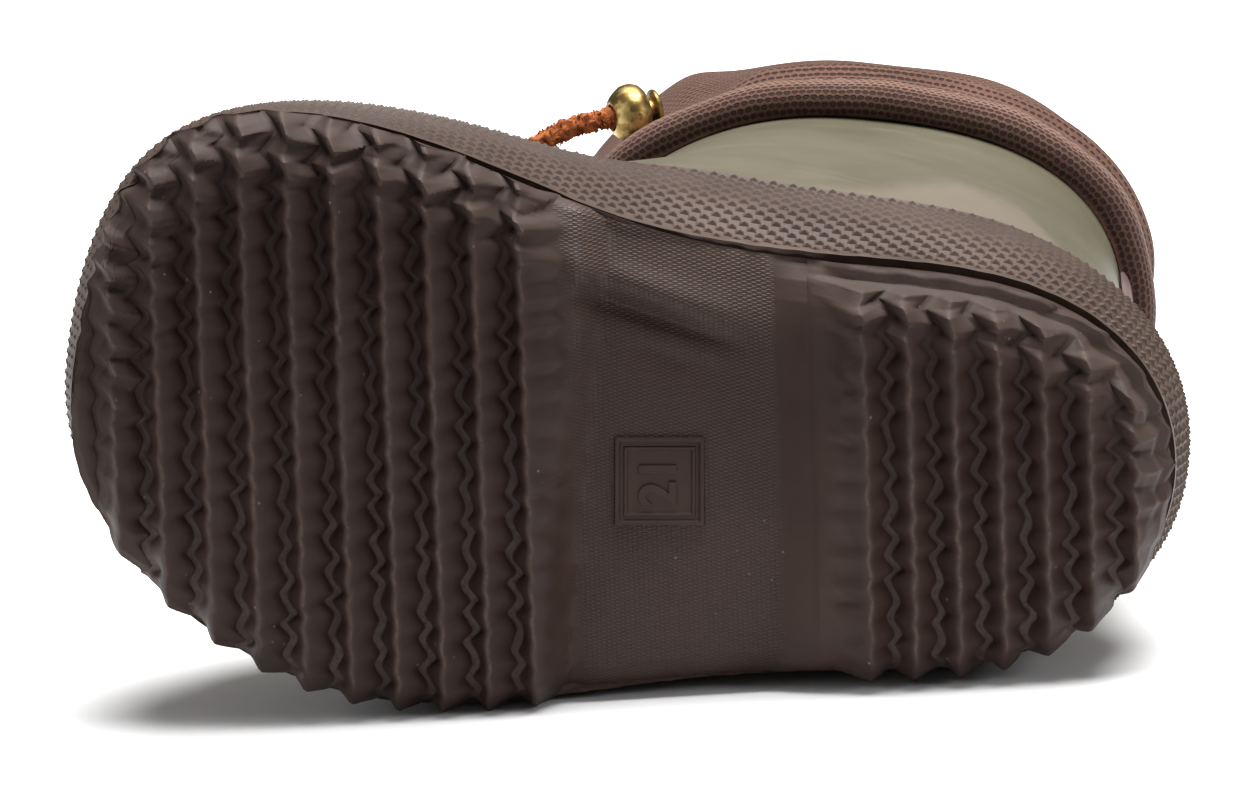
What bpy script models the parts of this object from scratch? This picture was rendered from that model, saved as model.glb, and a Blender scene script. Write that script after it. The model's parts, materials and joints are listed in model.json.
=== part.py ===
import math

import bmesh
import bpy
import numpy as np
from mathutils import Matrix, Vector

# Driving dimensions in millimetres and degrees.
# The boot frame has x from the heel to the toe, y to the inner side of the foot and z up from the ground.
SOLE_LENGTH = 151.0
WALL = 2.0
GAP = 0.3

# Half widths of the sole each side of the heel to toe line, at angles along that line.
# At angle a the place along the sole is SOLE_LENGTH * (1 - cos a) / 2.
STATION_COLUMNS = ("name", "angle", "inner", "outer")
STATIONS = (
    ("heel_back", 22.5, 15.6, 16.4),
    ("heel", 45.0, 25.0, 26.8),
    ("breast", 67.5, 26.8, 30.4),
    ("waist", 90.0, 29.6, 35.3),
    ("ball", 112.5, 38.4, 39.3),
    ("toes", 135.0, 41.0, 32.4),
    ("toe_corner", 157.5, 29.6, 18.2),
)

# The sole from the side: the tread's valley level and the top that carries the foot.
SOLE_COLUMNS = ("name", "x", "valley", "top")
SOLE_PROFILE = (
    ("heel_end", -4.0, 3.0, 12.6),
    ("heel", 30.0, 3.0, 12.2),
    ("heel_front", 46.5, 3.0, 11.8),
    ("breast_foot", 52.5, 6.9, 11.5),
    ("waist", 66.0, 6.9, 10.7),
    ("waist_front", 80.0, 6.9, 9.6),
    ("pad_start", 84.0, 3.0, 9.3),
    ("ball", 104.0, 3.0, 8.7),
    ("ball_front", 113.0, 3.0, 8.7),
    ("toes", 123.0, 3.7, 9.4),
    ("toe_spring", 138.0, 6.0, 11.5),
    ("toe_end", 155.0, 10.0, 15.4),
)

# Tread ribs run across the sole with their inner ends forward.
RIB_SKEW = 7.25
RIB_HEIGHT = 3.0
RIB_CREST = 1.2
RIB_VALLEY = 1.3
RIB_TOOTH = 0.9
HEEL_RIBS = {"first": 3.1, "pitch": 6.38, "count": 7}
PAD_RIBS = {"first": 87.7, "pitch": 6.41, "count": 10}

# Lines across the smooth parts of the tread, and lines close to the two tips of the outline.
WAIST_LINES = (46.6, 49.5, 52.6, 56.0, 61.0, 66.0, 71.0, 76.0, 80.0, 82.0, 84.2)
HEEL_TIP_LINES = (0.15, 0.8, 1.9)
TOE_TIP_LINES = (0.2, 0.9, 2.0, 3.6)

# How the tread rolls up at the sole's edge: distance in from the edge, rise above the valley, rib height left.
EDGE_COLUMNS = ("inset", "rise", "rib")
EDGE_ROLL = (
    (0.0, 4.0, 0.25),
    (0.9, 2.1, 0.75),
    (2.8, 0.8, 1.0),
    (6.5, 0.0, 1.0),
)

# Sections of the upper's outer face from the sole to the collar.
# Each runs from a point at the back to a point at the front. The oval column blends the foot outline into an
# oval, blunt is the power of that oval's front half, arch hollows the inner side over the sole's waist, and follow
# makes the section keep its lift above the sole's top.
SECTION_COLUMNS = (
    "name", "back_x", "back_z", "front_x", "front_z", "inner", "outer", "oval", "blunt", "arch", "follow", "lift",
)
SECTIONS = (
    ("feather", 1.5, 12.8, 148.9, 14.6, 38.9, 37.2, 0.00, 2.2, 0.0, 1.00, 0.3),
    ("bumper", -1.5, 22.5, 150.6, 24.5, 39.8, 37.6, 0.20, 2.2, 0.3, 0.70, 10.5),
    ("rand_top", -1.2, 33.0, 148.0, 36.0, 38.2, 36.6, 0.37, 2.2, 0.9, 0.35, 21.0),
    ("toe_top", 0.2, 45.5, 141.0, 48.0, 35.2, 33.6, 0.78, 2.2, 2.3, 0.00, 0.0),
    ("vamp", 1.2, 57.0, 126.0, 57.5, 32.2, 31.0, 1.00, 2.2, 3.9, 0.00, 0.0),
    ("instep", 1.9, 68.5, 106.0, 67.5, 30.7, 29.6, 1.00, 2.2, 4.2, 0.00, 0.0),
    ("throat", 2.0, 82.0, 91.5, 82.0, 30.0, 29.0, 1.00, 2.15, 3.0, 0.00, 0.0),
    ("shaft", 1.2, 104.0, 81.5, 105.0, 29.6, 29.0, 1.00, 2.0, 0.8, 0.00, 0.0),
    ("collar", -0.6, 138.5, 80.0, 138.5, 29.0, 29.0, 1.00, 2.0, 0.0, 0.00, 0.0),
)
BACK_POWER = 2.5
ARCH_X = 82.0
ARCH_REACH = 13.0
AROUND = 48
UPPER_ROWS = 21
RAND_SECTION = 2.0
RAND_THICK = 1.8
RAND_ROWS = 6

# The cuff's outer face: height above the ground and stand-off from the upper.
CUFF_COLUMNS = ("name", "z", "stand_off")
CUFF = (
    ("hem_lip", 100.0, 1.9),
    ("hem_bulge", 101.6, 4.0),
    ("hem", 105.2, 4.6),
    ("hem_head", 109.4, 4.0),
    ("stitch_groove", 111.4, 2.4),
    ("band", 119.0, 2.3),
    ("sleeve", 130.0, 2.4),
    ("shoulder", 139.5, 2.2),
    ("rim", 142.0, 1.5),
)

STRIP_HALF_ANGLE = 17.0
STRIP_THICK = 1.2
STRIP_SECTIONS = (2.06, 6.7)
INSOLE_THICK = 3.0

# A turned stud: distance along its axis and radius, with a blind bore in the bead's face.
BEAD_COLUMNS = ("along", "radius")
BEAD = (
    (-0.6, 0.0),
    (-0.6, 0.9),
    (0.0, 0.9),
    (0.0, 2.6),
    (0.4, 2.8),
    (0.8, 2.6),
    (1.0, 1.5),
    (1.9, 1.5),
    (2.2, 3.2),
    (3.4, 4.25),
    (5.0, 4.1),
    (6.4, 3.2),
    (7.2, 2.2),
    (7.2, 1.9),
    (4.2, 1.9),
    (4.2, 0.0),
)
BEAD_TURNS = 16
BEAD_SEAT = (70.8, 25.6, 114.8)
BEAD_AXIS = (0.92, -0.20, -0.33)

# The lace between the beads, a point every few millimetres, mirrored in the boot's middle plane.
LACE_RADIUS = 1.5
LACE_HALF = (
    (4.4, -0.9, -1.6),
    (8.2, -1.8, -3.0),
    (12.4, -3.2, -4.2),
    (16.6, -5.6, -5.0),
    (19.8, -9.8, -5.6),
    (21.4, -15.2, -6.0),
    (22.0, -21.0, -6.2),
)

DENSITY = {
    "outsole": 1.15, "upper": 1.15, "rand": 1.15, "back_strip": 1.15, "cuff": 0.6,
    "bead_medial": 8.4, "bead_lateral": 8.4, "lace": 0.6, "insole": 0.25,
}
MM = 0.001


def column(table, columns, name):
    """One named column of a table as an array."""
    return np.array([row[columns.index(name)] for row in table], float)


def smooth(places, values, at):
    """A curve through the values with the slope of its neighbours at each place."""
    at = np.clip(np.asarray(at, float), places[0], places[-1])
    slopes = np.gradient(values, places)
    i = np.clip(np.searchsorted(places, at, side="right") - 1, 0, len(places) - 2)
    width = places[i + 1] - places[i]
    t = (at - places[i]) / width
    start = values[i] * (1 + 2 * t) * (1 - t) ** 2 + slopes[i] * width * t * (1 - t) ** 2
    end = values[i + 1] * t * t * (3 - 2 * t) + slopes[i + 1] * width * t * t * (t - 1)
    return start + end


def harmonics(side):
    """Sine amplitudes of the outline through the half widths of one side."""
    angles = np.radians(column(STATIONS, STATION_COLUMNS, "angle"))
    orders = np.arange(1, len(angles) + 1)
    return np.linalg.solve(np.sin(np.outer(angles, orders)), column(STATIONS, STATION_COLUMNS, side))


SIDES = {"inner": harmonics("inner"), "outer": harmonics("outer")}


def half_width(angle, side):
    """The sole's half width at an angle from the heel."""
    orders = np.arange(1, len(STATIONS) + 1)
    return np.sin(np.outer(np.atleast_1d(angle), orders)) @ SIDES[side]


def sole_top(x):
    return smooth(column(SOLE_PROFILE, SOLE_COLUMNS, "x"), column(SOLE_PROFILE, SOLE_COLUMNS, "top"), x)


def sole_valley(x):
    return np.interp(x, column(SOLE_PROFILE, SOLE_COLUMNS, "x"), column(SOLE_PROFILE, SOLE_COLUMNS, "valley"))


def mesh_object(name, points, faces):
    """A closed mesh in metres from points in millimetres."""
    mesh = bpy.data.meshes.new(name)
    mesh.from_pydata([tuple(float(c) * MM for c in p) for p in points], [], faces)
    work = bmesh.new()
    work.from_mesh(mesh)
    bmesh.ops.remove_doubles(work, verts=work.verts, dist=0.00001)
    bmesh.ops.recalc_face_normals(work, faces=work.faces)
    work.to_mesh(mesh)
    work.free()
    shape = bpy.data.objects.new(name, mesh)
    bpy.context.collection.objects.link(shape)
    return shape


def ring_loft(name, rings):
    """A solid through closed rings of equal count, capped at both ends."""
    count = len(rings[0])
    points = [p for ring in rings for p in ring]
    faces = []
    for i in range(len(rings) - 1):
        for j in range(count):
            k = (j + 1) % count
            faces.append((i * count + j, i * count + k, (i + 1) * count + k, (i + 1) * count + j))
    faces.append(tuple(range(count)))
    last = (len(rings) - 1) * count
    faces.append(tuple(reversed(range(last, last + count))))
    return mesh_object(name, points, faces)


def shell(name, outer, inner, closed):
    """A wall between two grids of points; closed joins the last column to the first."""
    rows, cols = len(outer), len(outer[0])
    points = [p for row in outer for p in row] + [p for row in inner for p in row]
    lift = rows * cols
    faces = []
    for i in range(rows - 1):
        for j in range(cols if closed else cols - 1):
            k = (j + 1) % cols
            quad = (i * cols + j, i * cols + k, (i + 1) * cols + k, (i + 1) * cols + j)
            faces.append(quad)
            faces.append(tuple(lift + n for n in reversed(quad)))
    for j in range(cols if closed else cols - 1):
        k = (j + 1) % cols
        top = (rows - 1) * cols
        faces.append((j, lift + j, lift + k, k))
        faces.append((top + j, top + k, lift + top + k, lift + top + j))
    if not closed:
        for i in range(rows - 1):
            a, b = i * cols, (i + 1) * cols
            faces.append((a, b, lift + b, lift + a))
            a, b = a + cols - 1, b + cols - 1
            faces.append((a, lift + a, lift + b, b))
    return mesh_object(name, points, faces)


def upper_ring(section, angles):
    """Points of the upper's outer face at one place between its sections."""
    index = np.arange(len(SECTIONS), dtype=float)
    row = {n: float(smooth(index, column(SECTIONS, SECTION_COLUMNS, n), section)) for n in SECTION_COLUMNS[1:]}
    folded = np.where(angles > math.pi, 2 * math.pi - angles, angles)
    inner_side = angles <= math.pi
    foot = np.where(
        inner_side,
        half_width(folded, "inner") / column(STATIONS, STATION_COLUMNS, "inner").max(),
        half_width(folded, "outer") / column(STATIONS, STATION_COLUMNS, "outer").max(),
    )
    along_foot = (1 - np.cos(folded)) / 2
    power = np.where(np.cos(folded) > 0, 2 / BACK_POWER, 2 / row["blunt"])
    along_oval = (1 - np.sign(np.cos(folded)) * np.abs(np.cos(folded)) ** power) / 2
    oval = np.abs(np.sin(folded)) ** power
    along = along_foot * (1 - row["oval"]) + along_oval * row["oval"]
    width = foot * (1 - row["oval"]) + oval * row["oval"]
    x = row["back_x"] + (row["front_x"] - row["back_x"]) * along
    y = np.where(inner_side, row["inner"], -row["outer"]) * width
    y = y - np.where(inner_side, row["arch"], 0.0) * width * np.exp(-(((x - ARCH_X) / ARCH_REACH) ** 2))
    level = row["back_z"] + (row["front_z"] - row["back_z"]) * along
    z = level * (1 - row["follow"]) + (sole_top(x) + row["lift"]) * row["follow"]
    return np.stack([x, y, z], axis=1)


def upper_grid(sections, angles):
    """Outer face points and outward directions on a grid of sections and angles."""
    step = 0.02
    points, normals = [], []
    for s in sections:
        here = upper_ring(s, angles)
        up = upper_ring(min(s + step, len(SECTIONS) - 1), angles) - upper_ring(max(s - step, 0.0), angles)
        round_it = upper_ring(s, angles + step) - upper_ring(s, (angles - step) % (2 * math.pi))
        out = np.cross(up, round_it)
        if s <= 0.0:
            out[:, 2] = 0.0
        out /= np.linalg.norm(out, axis=1)[:, None]
        points.append(here)
        normals.append(out)
    return np.array(points), np.array(normals)


def seated(grid):
    """The same grid with its lowest row just above the sole."""
    grid[0, :, 2] = sole_top(grid[0, :, 0]) + GAP
    return grid


def all_round():
    return (np.arange(AROUND) + 0.5) / AROUND * 2 * math.pi


def build_upper():
    points, normals = upper_grid(np.linspace(0, len(SECTIONS) - 1, UPPER_ROWS), all_round())
    return shell("upper", seated(points), seated(points - WALL * normals), True)


def build_rand():
    points, normals = upper_grid(np.linspace(0, RAND_SECTION, RAND_ROWS), all_round())
    return shell("rand", seated(points + (GAP + RAND_THICK) * normals), seated(points + GAP * normals), True)


def build_back_strip():
    half = math.radians(STRIP_HALF_ANGLE)
    angles = np.linspace(-half, half, 7) % (2 * math.pi)
    points, normals = upper_grid(np.linspace(*STRIP_SECTIONS, 12), angles)
    return shell("back_strip", points + (GAP + STRIP_THICK) * normals, points + GAP * normals, False)


def cuff_ring(z, stand_off, angles):
    """Points round the shaft at one height, level, standing off the upper."""
    heights = column(SECTIONS, SECTION_COLUMNS, "back_z")
    section = float(np.interp(z, heights, np.arange(len(SECTIONS))))
    points, normals = upper_grid([section], angles)
    flat = normals[0] * np.array([1.0, 1.0, 0.0])
    ring = points[0] + stand_off * flat / np.linalg.norm(flat, axis=1)[:, None]
    ring[:, 2] += z - float(np.interp(section, np.arange(len(SECTIONS)), heights))
    return ring


def build_cuff():
    outer = [cuff_ring(z, off, all_round()) for z, off in zip(column(CUFF, CUFF_COLUMNS, "z"),
                                                 column(CUFF, CUFF_COLUMNS, "stand_off"))]
    inner = [cuff_ring(z, 0.5, all_round()) for z in column(CUFF, CUFF_COLUMNS, "z")]
    return shell("cuff", outer, inner, True)


def rib_lines():
    """Places of the ribs' crest and valley lines along the sole, with the share of rib height at each."""
    lines = {}
    for ribs in (HEEL_RIBS, PAD_RIBS):
        crests = ribs["first"] + ribs["pitch"] * np.arange(ribs["count"])
        for c in crests:
            lines[c - RIB_CREST / 2] = 1.0
            lines[c + RIB_CREST / 2] = 1.0
        for c in crests[:-1] + ribs["pitch"] / 2:
            lines[c - RIB_VALLEY / 2] = 0.0
            lines[c + RIB_VALLEY / 2] = 0.0
    return lines


def sole_edges():
    """The sole's outline as its two sides, each a function of the place of a rib line."""
    angles = np.linspace(0, math.pi, 721)
    x = SOLE_LENGTH * (1 - np.cos(angles)) / 2
    skew = math.tan(math.radians(RIB_SKEW))
    y_in, y_out = half_width(angles, "inner"), -half_width(angles, "outer")
    ring_x = np.concatenate([x, x[::-1]])
    ring_y = np.concatenate([y_in, y_out[::-1]])
    place = ring_x - ring_y * skew
    first, last = int(np.argmin(place)), int(np.argmax(place))
    low, high = sorted((first, last))
    parts = (np.arange(low, high + 1), np.arange(high, low + 1 + len(place)) % len(place))
    sides = []
    for part in parts:
        order = part[np.argsort(place[part])]
        sides.append((place[order], ring_y[order]))
    sides.sort(key=lambda side: -side[1].mean())
    return place.min(), place.max(), sides[0], sides[1]


def build_outsole():
    start, end, inner, outer = sole_edges()
    skew = math.tan(math.radians(RIB_SKEW))
    lines = rib_lines()
    tips = [start + inset for inset in HEEL_TIP_LINES] + [end - inset for inset in TOE_TIP_LINES]
    for place in (*WAIST_LINES, *tips):
        lines[place] = 0.0
    rings = []
    for place in sorted(lines):
        share = lines[place]
        y_in, y_out = np.interp(place, *inner), np.interp(place, *outer)
        room = min(1.0, (y_in - y_out) / 20.0)
        ring = []

        def add(y, z):
            ring.append((place + y * skew, y, z))

        def tread(y, rise, rib):
            x = place + y * skew
            add(y, min(sole_valley(x) + rise * room, sole_top(x) - 1.0) - RIB_HEIGHT * share * rib * room)

        add(y_in, sole_top(place + y_in * skew))
        for inset, rise, rib in EDGE_ROLL:
            tread(y_in - inset * room + RIB_TOOTH * share * (inset == 0), rise, rib)
        first, last = y_in - EDGE_ROLL[-1][0] * room, y_out + EDGE_ROLL[-1][0] * room
        for part in (0.25, 0.5, 0.75):
            tread(first + (last - first) * part, 0.0, 1.0)
        for inset, rise, rib in reversed(EDGE_ROLL):
            tread(y_out + inset * room - RIB_TOOTH * share * (inset == 0), rise, rib)
        for part in (0.0, 0.25, 0.5, 0.75):
            y = y_out + (y_in - y_out) * part
            add(y, sole_top(place + y * skew))
        rings.append(ring)
    return ring_loft("outsole", rings)


def build_insole():
    angles = np.linspace(0.12, math.pi - 0.12, 30)
    inset = WALL + 0.7
    rings = []
    for a in angles:
        pair = upper_ring(0.0, np.array([a, 2 * math.pi - a]))
        x = 3.0 + inset + (pair[0, 0] - 3.0) * (146.0 - 2 * inset) / 146.0
        low = sole_top(x) + GAP
        y_in, y_out = pair[0, 1] - inset, pair[1, 1] + inset
        rings.append([(x, y_in, low), (x, y_in, low + INSOLE_THICK), (x, y_out, low + INSOLE_THICK), (x, y_out, low)])
    return ring_loft("insole", rings)


def bead_frame(mirror):
    """Axis and two cross directions of a bead, mirrored for the outer side."""
    flip = Vector((1, -1, 1)) if mirror else Vector((1, 1, 1))
    axis = (Vector(BEAD_AXIS) * flip).normalized()
    across = axis.cross(Vector((0, 0, 1))).normalized()
    return Vector(BEAD_SEAT) * flip, axis, across, axis.cross(across)


def build_bead(name, mirror):
    seat, axis, across, up = bead_frame(mirror)
    points, faces = [], []
    for along, radius in BEAD:
        for n in range(BEAD_TURNS):
            turn = 2 * math.pi * n / BEAD_TURNS
            points.append(seat + axis * along + (across * math.cos(turn) + up * math.sin(turn)) * radius)
    for i in range(len(BEAD) - 1):
        for n in range(BEAD_TURNS):
            m = (n + 1) % BEAD_TURNS
            a, b = i * BEAD_TURNS, (i + 1) * BEAD_TURNS
            faces.append((a + n, a + m, b + m, b + n))
    return mesh_object(name, points, faces)


def build_lace():
    half = [Vector(BEAD_SEAT) + Vector(p) for p in LACE_HALF]
    middle = [Vector((half[-1].x + 0.2, 0.0, half[-1].z))]
    whole = half + middle + [Vector((p.x, -p.y, p.z)) for p in reversed(half)]
    curve = bpy.data.curves.new("lace", "CURVE")
    curve.dimensions = "3D"
    curve.bevel_depth = LACE_RADIUS * MM
    curve.bevel_resolution = 2
    curve.use_fill_caps = True
    spline = curve.splines.new("POLY")
    spline.points.add(len(whole) - 1)
    for point, place in zip(spline.points, whole):
        point.co = (*(place * MM), 1.0)
    shape = bpy.data.objects.new("lace", curve)
    bpy.context.collection.objects.link(shape)
    return shape


def finish(shape, srgb, roughness, metallic=0.0):
    """A plain material from a colour in 8-bit steps."""
    material = bpy.data.materials.new(shape.name)
    material.use_nodes = True
    surface = material.node_tree.nodes["Principled BSDF"]
    linear = [((c / 255 + 0.055) / 1.055) ** 2.4 if c > 10 else c / 255 / 12.92 for c in srgb]
    surface.inputs["Base Color"].default_value = (*linear, 1.0)
    surface.inputs["Roughness"].default_value = roughness
    surface.inputs["Metallic"].default_value = metallic
    shape.data.materials.append(material)


def weigh(shapes):
    """The balance point of the mesh pieces, each at its density."""
    total, moment = 0.0, Vector((0, 0, 0))
    for shape in shapes:
        if shape.type != "MESH":
            continue
        shape.data.calc_loop_triangles()
        for triangle in shape.data.loop_triangles:
            a, b, c = (shape.data.vertices[v].co for v in triangle.vertices)
            mass = a.dot(b.cross(c)) / 6 * DENSITY[shape.name]
            total += mass
            moment += (a + b + c) / 4 * mass
    return moment / total


def lie_down(shapes):
    """The matrix that lays the boot on the side of its hull that holds the balance point."""
    balance = weigh(shapes)
    hull = bmesh.new()
    for shape in shapes:
        if shape.type == "MESH":
            for vertex in shape.data.vertices:
                hull.verts.new(vertex.co)
    result = bmesh.ops.convex_hull(hull, input=hull.verts)
    faces = [f for f in result["geom"] if isinstance(f, bmesh.types.BMFace)]
    best = None
    for face in faces:
        face.normal_update()
        corners = [v.co for v in face.verts]
        normal = face.normal if face.normal.dot(corners[0] - balance) > 0 else -face.normal
        foot = balance + normal * normal.dot(corners[0] - balance)
        turns = [
            normal.dot((corners[(i + 1) % len(corners)] - corners[i]).cross(foot - corners[i]))
            for i in range(len(corners))
        ]
        inside = all(t >= 0 for t in turns) or all(t <= 0 for t in turns)
        if inside and (best is None or normal.y < best.y):
            best = normal.copy()
    up = -best
    hull.free()
    right = Vector((-1, 0, 0)) - up * Vector((-1, 0, 0)).dot(up)
    right.normalize()
    turn = Matrix((right, up.cross(right), up))
    laid = [turn @ v.co for shape in shapes if shape.type == "MESH" for v in shape.data.vertices]
    low = Vector(min(p[i] for p in laid) for i in range(3))
    high = Vector(max(p[i] for p in laid) for i in range(3))
    shift = Vector((-(low.x + high.x) / 2, -(low.y + high.y) / 2, -low.z))
    return Matrix.Translation(shift) @ turn.to_4x4()


for old in list(bpy.data.objects):
    bpy.data.objects.remove(old, do_unlink=True)

outsole = build_outsole()
upper = build_upper()
rand = build_rand()
back_strip = build_back_strip()
cuff = build_cuff()
bead_medial = build_bead("bead_medial", False)
bead_lateral = build_bead("bead_lateral", True)
lace = build_lace()
insole = build_insole()

finish(outsole, (62, 51, 48), 0.55)
finish(upper, (128, 126, 108), 0.35)
finish(rand, (104, 92, 86), 0.6)
finish(back_strip, (104, 82, 76), 0.6)
finish(cuff, (104, 76, 68), 0.85)
finish(bead_medial, (168, 140, 66), 0.3, 1.0)
finish(bead_lateral, (168, 140, 66), 0.3, 1.0)
finish(lace, (186, 100, 52), 0.9)
finish(insole, (150, 132, 112), 0.9)

pieces = [outsole, upper, rand, back_strip, cuff, bead_medial, bead_lateral, lace, insole]
rest = bpy.data.objects.new("boot_rest", None)
bpy.context.collection.objects.link(rest)
rest.matrix_world = lie_down(pieces)
for piece in pieces:
    piece.parent = rest
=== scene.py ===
import json
import math

import bpy
import numpy as np
from mathutils import Matrix, Vector, noise

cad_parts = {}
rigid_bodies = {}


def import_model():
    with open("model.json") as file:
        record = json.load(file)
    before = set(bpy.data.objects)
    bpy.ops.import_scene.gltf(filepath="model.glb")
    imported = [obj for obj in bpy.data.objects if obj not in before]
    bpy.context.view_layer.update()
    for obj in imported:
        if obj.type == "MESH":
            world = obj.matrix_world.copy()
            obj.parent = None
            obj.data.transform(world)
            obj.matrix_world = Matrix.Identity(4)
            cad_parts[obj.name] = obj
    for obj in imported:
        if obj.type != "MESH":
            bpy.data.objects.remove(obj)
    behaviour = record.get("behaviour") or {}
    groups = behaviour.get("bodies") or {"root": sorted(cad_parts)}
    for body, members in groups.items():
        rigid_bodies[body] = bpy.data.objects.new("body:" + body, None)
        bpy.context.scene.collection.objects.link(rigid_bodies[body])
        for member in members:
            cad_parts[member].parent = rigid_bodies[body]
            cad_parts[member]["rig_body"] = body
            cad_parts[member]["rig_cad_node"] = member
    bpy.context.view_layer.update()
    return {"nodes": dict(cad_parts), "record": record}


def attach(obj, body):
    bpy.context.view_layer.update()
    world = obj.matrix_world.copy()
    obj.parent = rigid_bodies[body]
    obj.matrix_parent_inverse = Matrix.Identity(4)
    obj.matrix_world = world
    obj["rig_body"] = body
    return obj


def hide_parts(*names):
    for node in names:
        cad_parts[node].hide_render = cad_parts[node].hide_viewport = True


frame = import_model()
bpy.ops.object.select_all(action="DESELECT")
print("frame:", ", ".join(sorted(frame["nodes"])))

# the boot's own frame in millimetres: x heel to toe, y to the inner side, z up from the ground
mm = 0.001
mounts = {m["name"]: m for m in frame["record"]["mounts"]}
heelSpot = Vector(mounts["heel_tread"]["pos_m"])
padSpot = Vector(mounts["forefoot_tread"]["pos_m"])
heelSpotInBoot = (21.731, -4.0, 0.0)
bootX = (padSpot - heelSpot).normalized()
bootZ = -Vector(mounts["heel_tread"]["axis"]).normalized()
bootY = bootZ.cross(bootX)
bootTurn = np.array([bootX, bootY, bootZ]).T
bootStart = np.array(heelSpot) - bootTurn @ np.array(heelSpotInBoot) * mm


def toWorld(points):
    return np.asarray(points, float) * mm @ bootTurn.T + bootStart


def toBoot(points):
    return (points - bootStart) @ bootTurn / mm


# camera and light

cameraView = {
    "azimuth": -0.639,
    "elevation": 10.913,
    "roll": -3.21,
    "distance": 1.62643,
    "target": (0.00037, 0.0, 0.03061),
    "lens": 328.27,
    "sensor": 36.0,
    "nearest": 0.05,
}


def makeCamera():
    turn, tilt, roll = (math.radians(cameraView[k]) for k in ("azimuth", "elevation", "roll"))
    back = Vector((math.sin(turn) * math.cos(tilt), -math.cos(turn) * math.cos(tilt), math.sin(tilt)))
    right = (-back).cross(Vector((0, 0, 1))).normalized()
    up = right.cross(-back)
    rightRolled = right * math.cos(roll) + up * math.sin(roll)
    upRolled = up * math.cos(roll) - right * math.sin(roll)
    place = Vector(cameraView["target"]) + back * cameraView["distance"]
    turned = Matrix((rightRolled, upRolled, back)).transposed().to_4x4()
    bpy.ops.object.camera_add()
    camera = bpy.context.object
    camera.name = "photoCamera"
    camera.matrix_world = Matrix.Translation(place) @ turned
    camera.data.lens = cameraView["lens"]
    camera.data.sensor_width = cameraView["sensor"]
    camera.data.clip_start = cameraView["nearest"]
    bpy.context.scene.camera = camera


studio = {
    "floor": ((-1.6, -0.16), (1.6, 2.6)),  # corners
    "frontFloor": ((-1.6, -2.6), (1.6, -0.16)),  # throws no light back at the sole
    "floorTone": 0.9,
    "floorRoughness": 0.9,
    "sky": 0.16,
    "lamps": {  # place, aim, size, power
        "topSoft": ((0.16, 0.10, 1.10), (0.0, 0.02, 0.03), 1.1, 39.0),
        "rightSoft": ((0.95, -0.75, 0.55), (0.0, 0.0, 0.03), 0.5, 3.4),
        "leftSoft": ((-1.0, -0.3, 0.4), (-0.04, 0.0, 0.03), 0.6, 2.4),
    },
}


def makeStudio():
    world = bpy.data.worlds.new("paleRoom")
    bpy.context.scene.world = world
    world.use_nodes = True
    world.node_tree.nodes["Background"].inputs["Color"].default_value = (1.0, 1.0, 1.0, 1.0)
    world.node_tree.nodes["Background"].inputs["Strength"].default_value = studio["sky"]
    for name, (place, aim, size, power) in studio["lamps"].items():
        bpy.ops.object.light_add(type="AREA", location=place)
        lamp = bpy.context.object
        lamp.name = name
        lamp.data.shape = "DISK"
        lamp.data.size = size
        lamp.data.energy = power
        lamp.rotation_mode = "QUATERNION"
        lamp.rotation_quaternion = (Vector(aim) - Vector(place)).to_track_quat("-Z", "Y")
    paint = bpy.data.materials.new("paleFloor")
    paint.use_nodes = True
    shader = paint.node_tree.nodes["Principled BSDF"]
    shader.inputs["Base Color"].default_value = (studio["floorTone"],) * 3 + (1.0,)
    shader.inputs["Roughness"].default_value = studio["floorRoughness"]
    shader.inputs["Specular IOR Level"].default_value = 0.0
    for name in ("floor", "frontFloor"):
        (left, front), (right, back) = studio[name]
        bpy.ops.mesh.primitive_plane_add(size=1, location=((left + right) / 2, (front + back) / 2, 0))
        floor = bpy.context.object
        floor.name = name
        floor.scale = (right - left, back - front, 1)
        bpy.ops.object.transform_apply(location=True, rotation=False, scale=True)
        floor.visible_diffuse = name == "floor"
        floor.visible_glossy = name == "floor"
        floor.data.materials.append(paint)
    bpy.context.scene.view_settings.view_transform = "Standard"


makeCamera()
makeStudio()
print("camera and studio ready")


# shader maths on sockets

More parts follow.
